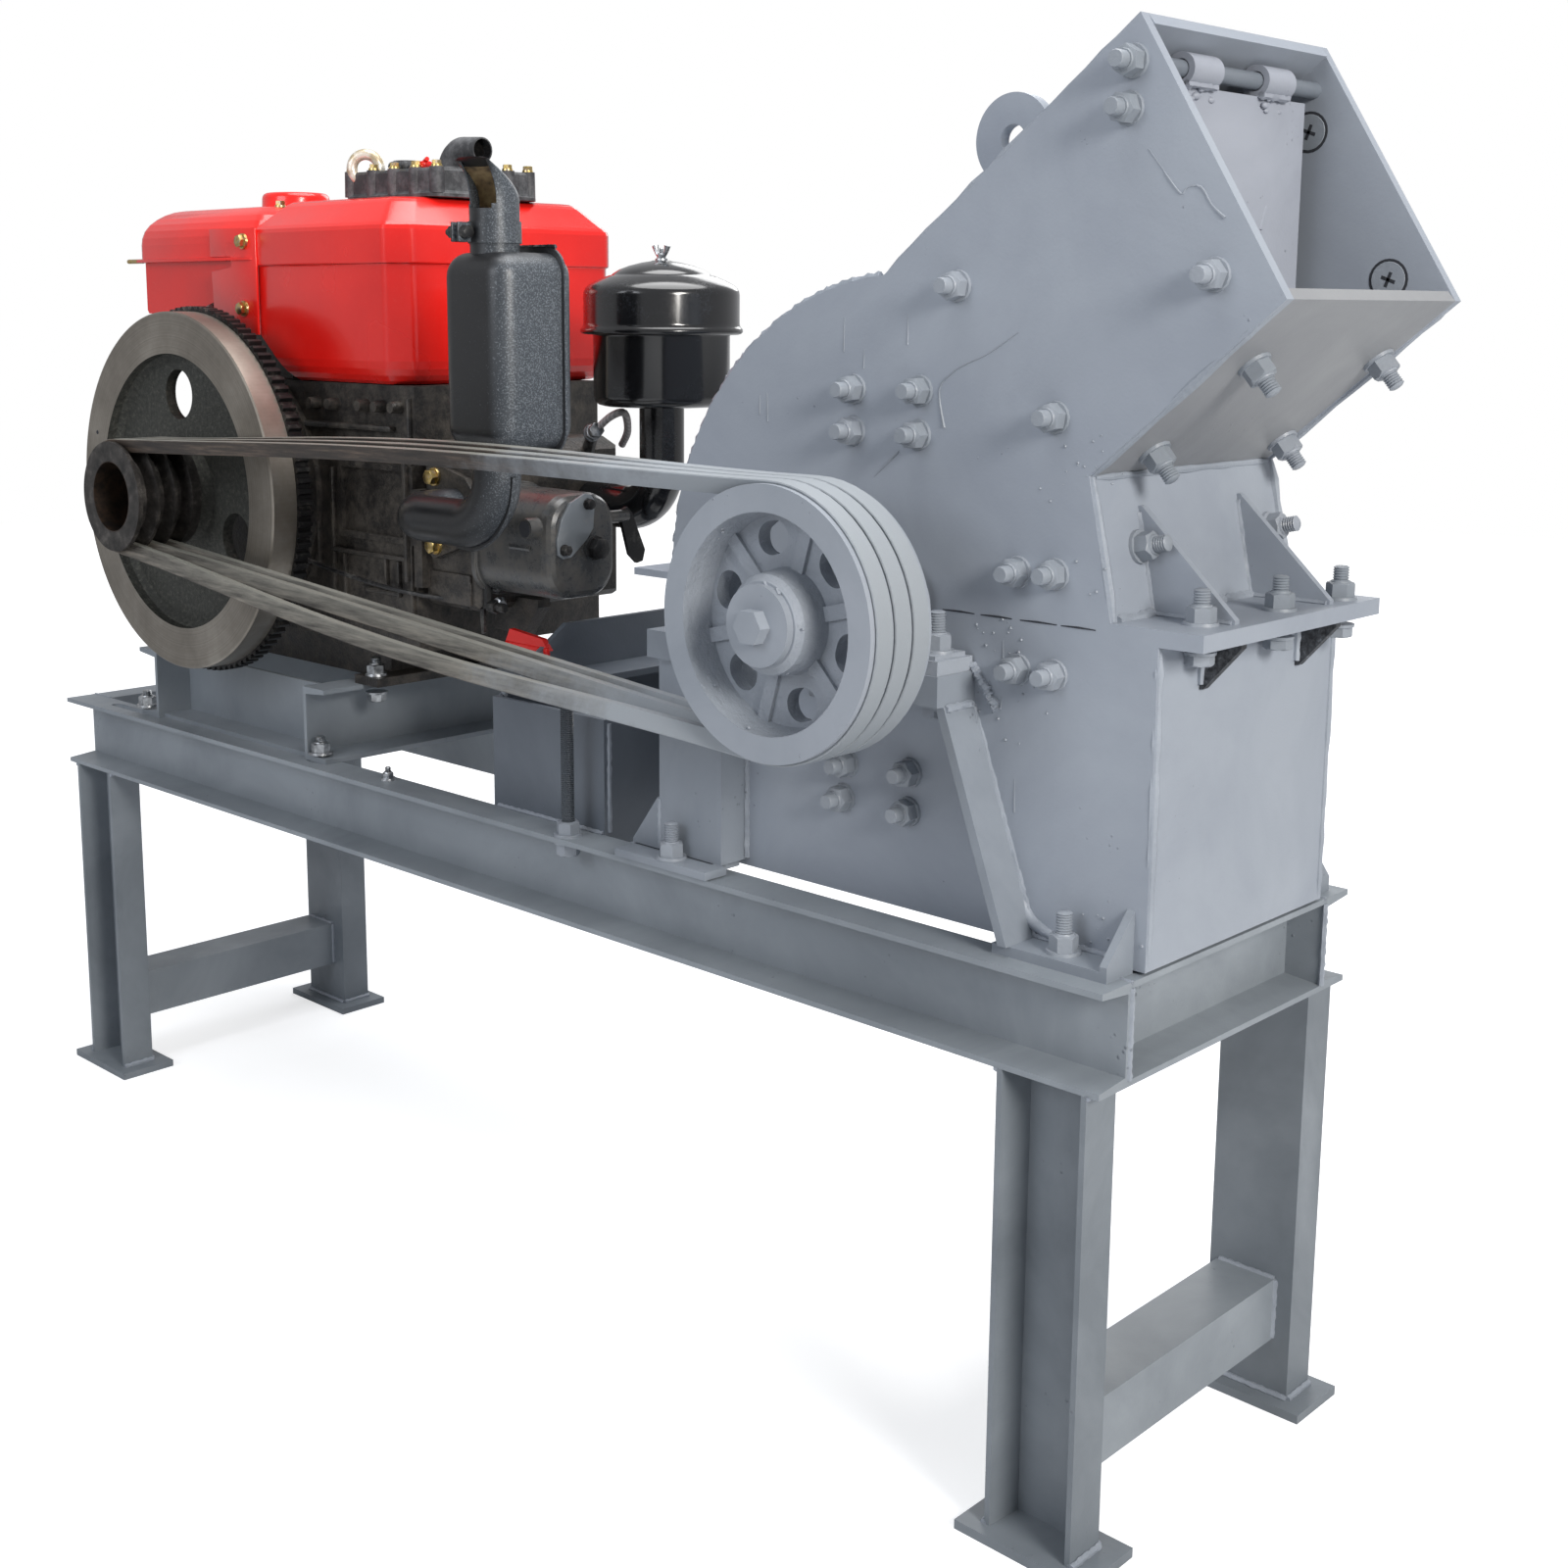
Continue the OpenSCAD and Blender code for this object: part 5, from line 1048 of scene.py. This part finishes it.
# ---- Air filter ----
# Oil-bath filter of spun sheet steel in thick gloss black: bowl, lid with a
# rolled rim and a raised dome, and a wing nut of bright zinc on top.
gloss, add, shader, coords = new_material("gloss_black_enamel", Roughness=0.12)
dust = add("TexNoise", (coords, 1000 / 4, 5, 0.75))
cloud = add("TexNoise", (coords, 1000 / 70, 3))
both = add("Math", (dust, cloud), operation="MULTIPLY")
tone = add("ValToRGB", both, {0.30: "0F1013", 0.42: "202329", 0.5: "5B616B"})
film = add("MapRange", (both, 0.2, 0.45, 0.16, 0.36))
plug(shader, {"Coat Weight": 0.6, "Coat Roughness": 0.12, "Base Color": tone, "Roughness": film})
dress(gloss, "intake_pipe")
can = bmesh.new()
profile = [(0.01, 0), (72, 0), (79, 2), (83.5, 6.5), (85, 13), (85, 86), (86, 88), (96, 88),
        (99, 89), (101, 91),
           (101, 94), (99, 96.5), (97.5, 98.5), (97, 102), (97, 136), (96.3, 140.5), (94, 144.5),
           (90, 148),
           (82, 152.5), (72, 157), (65, 159.6), (62, 160), (60, 162), (52, 167), (40, 171.5),
           (24, 175.5),
           (14, 177), (11, 178), (0.01, 178.6)]
spun(can, profile, 72)
bmesh.ops.remove_doubles(can, verts=can.verts, dist=0.05)
bmesh.ops.translate(can, vec=(83, 60, 1056), verts=can.verts)
can_piece = piece(can, "air_filter_can", gloss, crease=50)
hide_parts("air_filter")
wings = bmesh.new()
stamp(wings, fastener(10, 5, 16, 6, 8, 1.4), (83, 60, 1233.5))
for side in (-1, 1):
    tube(wings, [(83 + side * 4, 60, 1239), (83 + side * 8, 60, 1244), (83 + side * 11, 60, 1252)],
         [2.4, 2.8, 4.2], 8, 3)
piece(wings, "filter_wing_nut", zinc)

# ---- Hood, fuel tank and radiator cover ----
# Hood and tank pressed from 1.5 mm sheet and dipped in red gloss enamel; a
# cast cover on the water tank in dusty black, with its bent outlet pipe.
red, add, shader, coords = new_material("red_gloss_enamel", Roughness=0.2)
cloud = add("TexNoise", (coords, 1000 / 180, 4))
tone = add("ValToRGB", cloud, {0.35: "DC1813", 0.65: "EC211A"})
dust = add("TexNoise", (coords, 1000 / 5, 6, 0.8))
film = add("MapRange", (dust, 0.55, 0.85, 0, 0.08))
skin = add("Mix", (film, tone, "E59A90"), data_type="RGBA")
haze = add("MapRange", (cloud, 0.3, 0.7, 0.16, 0.3))
ripple = add("TexNoise", (coords, 1000 / 85, 1))
dent = add("Bump", {"Height": ripple, "Strength": 0.35, "Distance": 0.003})
peel = add("TexNoise", (coords, 1000 / 2.5, 1))
fine = add("Bump", {"Height": peel, "Strength": 0.12, "Distance": 0.0003, "Normal": dent})
plug(shader, {"Coat Weight": 0.3, "Coat Roughness": 0.08, "Base Color": skin, "Roughness": haze,
              "Normal": fine})
red_sheet = bmesh.new()
add_copy(red_sheet, pressed((322, 382), [(27, 1, 1), (6, 3, 0)], [
    (1078, 24), (1079, 18), (1083, 12), (1090, 7), (1098, 4.2), (1108, 3), (1228, 3), (1229.6, 2.4),
    (1230.4, 0.6), (1232, 0), (1234, 0), (1273, 0), (1278, 1.4), (1282, 4.6), (1308, 30.6),
    (1311.6, 35),
    (1314.2, 40), (1315, 46)]), Matrix.Translation((-326, 31, 0)))
cut = bmesh.ops.bisect_plane(red_sheet, geom=red_sheet.verts[:] + red_sheet.edges[:] + red_sheet.faces[:],
                             plane_co=(-488, 0, 1146), plane_no=(-65, 0, -77.4),
                             clear_outer=True)["geom_cut"]
bmesh.ops.holes_fill(red_sheet, edges=[g for g in cut if isinstance(g, bmesh.types.BMEdge)])
hood_piece = piece(red_sheet, "hood_sheet", red, crease=60)
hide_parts("radiator_hood")
red_sheet = bmesh.new()
add_copy(red_sheet, pressed((318, 360), [(14, 3, 0)], [
    (1240, 0), (1262, 0), (1272, 1), (1282, 4), (1291, 9.5), (1299, 17.5), (1305, 26), (1309.5, 36),
    (1311.6, 47), (1312, 56)]), Matrix.Translation((-631, 20, 0)))
add_copy(red_sheet, pressed((318, 372), [(12, 2, 0)], [(1237.5, 1), (1238, 0), (1241.5, 0), (1242, 1)]),
         Matrix.Translation((-637, 20, 0)))
arch = [around(crank_axis, 262, math.radians(a)) for a in range(112, 74, -4)]
plate(red_sheet, [(-783, 1170), (-779, 1165), (-652, 1165)] + arch + [(-471, 1178), (-471, 1239),
        (-783, 1239)],
      -153, -100)
block(red_sheet, (-784, -101, 1165), (-471, 194, 1239), 6)
cap = drum(red_sheet, (-590, -20, 1323), 48, 47, 25, 48)
edges = [e for e in {e for v in cap for e in v.link_edges} if all(v.co.z > 1330 for v in e.verts)]
rounded(red_sheet, edges, 8, 4)
tank_piece = piece(red_sheet, "tank_sheet", red, crease=50)
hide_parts("fuel_tank")
strap = bmesh.new()
plate(strap, [(-590, 1281), (-590, 1243), (-538, 1243), (-538, 1229), (-588, 1223), (-585, 1170),
        (-486, 1138),
              (-475, 1138), (-475, 1281)], -163, -159.6)
rounded(strap, strap.edges[:], 0.8)
block(strap, (-30, -106, 752), (52, -100, 764), 2)
plate(strap, [(-30, 764), (-22, 780), (40, 774), (52, 760)], -104, -96)
piece(strap, "tank_strap", red)
screws = bmesh.new()
for x, z in ((-504, 1263), (-507, 1173)):
    stamp(screws, fastener(15, 7, 22), (x, -163, z), (0, -1, 0), x)
tube(screws, [(-780, -158, 1239.8), (-822, -158, 1239.8)], 3.2, 8, 1)
stamp(screws, fastener(12, 6, 16), (-520, -92, 1311))
cover_bolts = [(-380, -70), (-330, -70), (-284, -70), (-238, -70), (-200, -66), (-200, 0), (-200, 50),
               (-204, 88), (-290, 88), (-380, 86), (-380, 10)]
for x, y in cover_bolts:
    stamp(screws, fastener(11, 5, 15), (x, y, 1353.5), (0, 0, 1), x)
piece(screws, "hood_screws", gold)

cover_iron = cast_iron("dusty_black_cast_cover", "313235", "77787B", roughness=0.55, wear=0.56,
        lumps=0.8)
cover = bmesh.new()
add_copy(cover, pressed((200, 180), [(12, 1, 0), (4, 2, 0)], [(1315.3, 1), (1316, 0), (1320, 0),
        (1321.5, 2), (1322, 4),
                                                         (1324, 5), (1349, 6), (1352, 8), (1353, 12)]),
          Matrix.Translation((-290, 10, 0)))
for x, y in cover_bolts:
    drum(cover, (x, y, 1337), 10, 9.5, 33, 16)
drum(cover, (-280, 25, 1356), 29, 26, 8, 28)
tube(cover, [(-280, 25, 1354), (-280, 25, 1358), (-278, 25, 1366), (-271, 25, 1374), (-262, 25, 1379),
             (-252, 25, 1380), (-220, 25, 1380)], [22, 22, 21.5, 21, 20, 18.5, 16.5], 24, 3)
cover.faces.ensure_lookup_table()
end = max((f for f in cover.faces if len(f.verts) == 24), key=lambda f: f.calc_center_median().x)
bmesh.ops.inset_individual(cover, faces=[end], thickness=2)
bmesh.ops.delete(cover, geom=[end], context="FACES_ONLY")
for turn in range(8):
    spot = (-300 + 19 * math.cos(turn * math.pi / 4), -38 + 19 * math.sin(turn * math.pi / 4), 1359)
    bmesh.ops.create_icosphere(cover, subdivisions=2, radius=6.5, matrix=Matrix.Translation(spot))
drum(cover, (-300, -38, 1359), 20, 18, 14, 24)
cover_piece = piece(cover, "radiator_cover_casting", cover_iron, crease=45)
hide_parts("radiator_cover")
# a black disc inside the outlet pipe: painted shade of its bore
bore_shade = mottled("painted_shade_in_outlet_bore", (5, 3), {0.4: "0B0B0C", 0.7: "1C1A18"}, Roughness=0.9,
                   Specular_IOR_Level=0.1)[0]
shade_disc = bmesh.new()
drum(shade_disc, (-241, 25, 1380), 16, 15.5, 8, 24, math.pi / 2, "Y")
piece(shade_disc, "outlet_pipe_bore", bore_shade)

# a lifting ring rolled from pale bar, and a red rubber plug beside it
pale = mottled("pale_lacquered_brass", (12, 4), {0.4: "B9A98C", 0.6: "E4DED2"}, Roughness=0.3,
               Metallic=0.35)[0]
loop = bmesh.new()
side = Vector((math.cos(math.radians(44)), math.sin(math.radians(44)), 0))
course = [Vector((-362, -60, 1358)) + side * 18.5 * math.cos(a) + Vector((0, 0, 18.5 * math.sin(a)))
          for a in [math.radians(d) for d in range(-100, 281, 20)]]
tube(loop, course, 7.3, 12, 2)
piece(loop, "lifting_ring", pale)
plug = bmesh.new()
block(plug, (-244, -66, 1352), (-226, -52, 1362), 3)
tube(plug, [(-235, -60, 1360), (-222, -64, 1364)], 3, 8, 1)
piece(plug, "red_plug", red)

low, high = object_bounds()
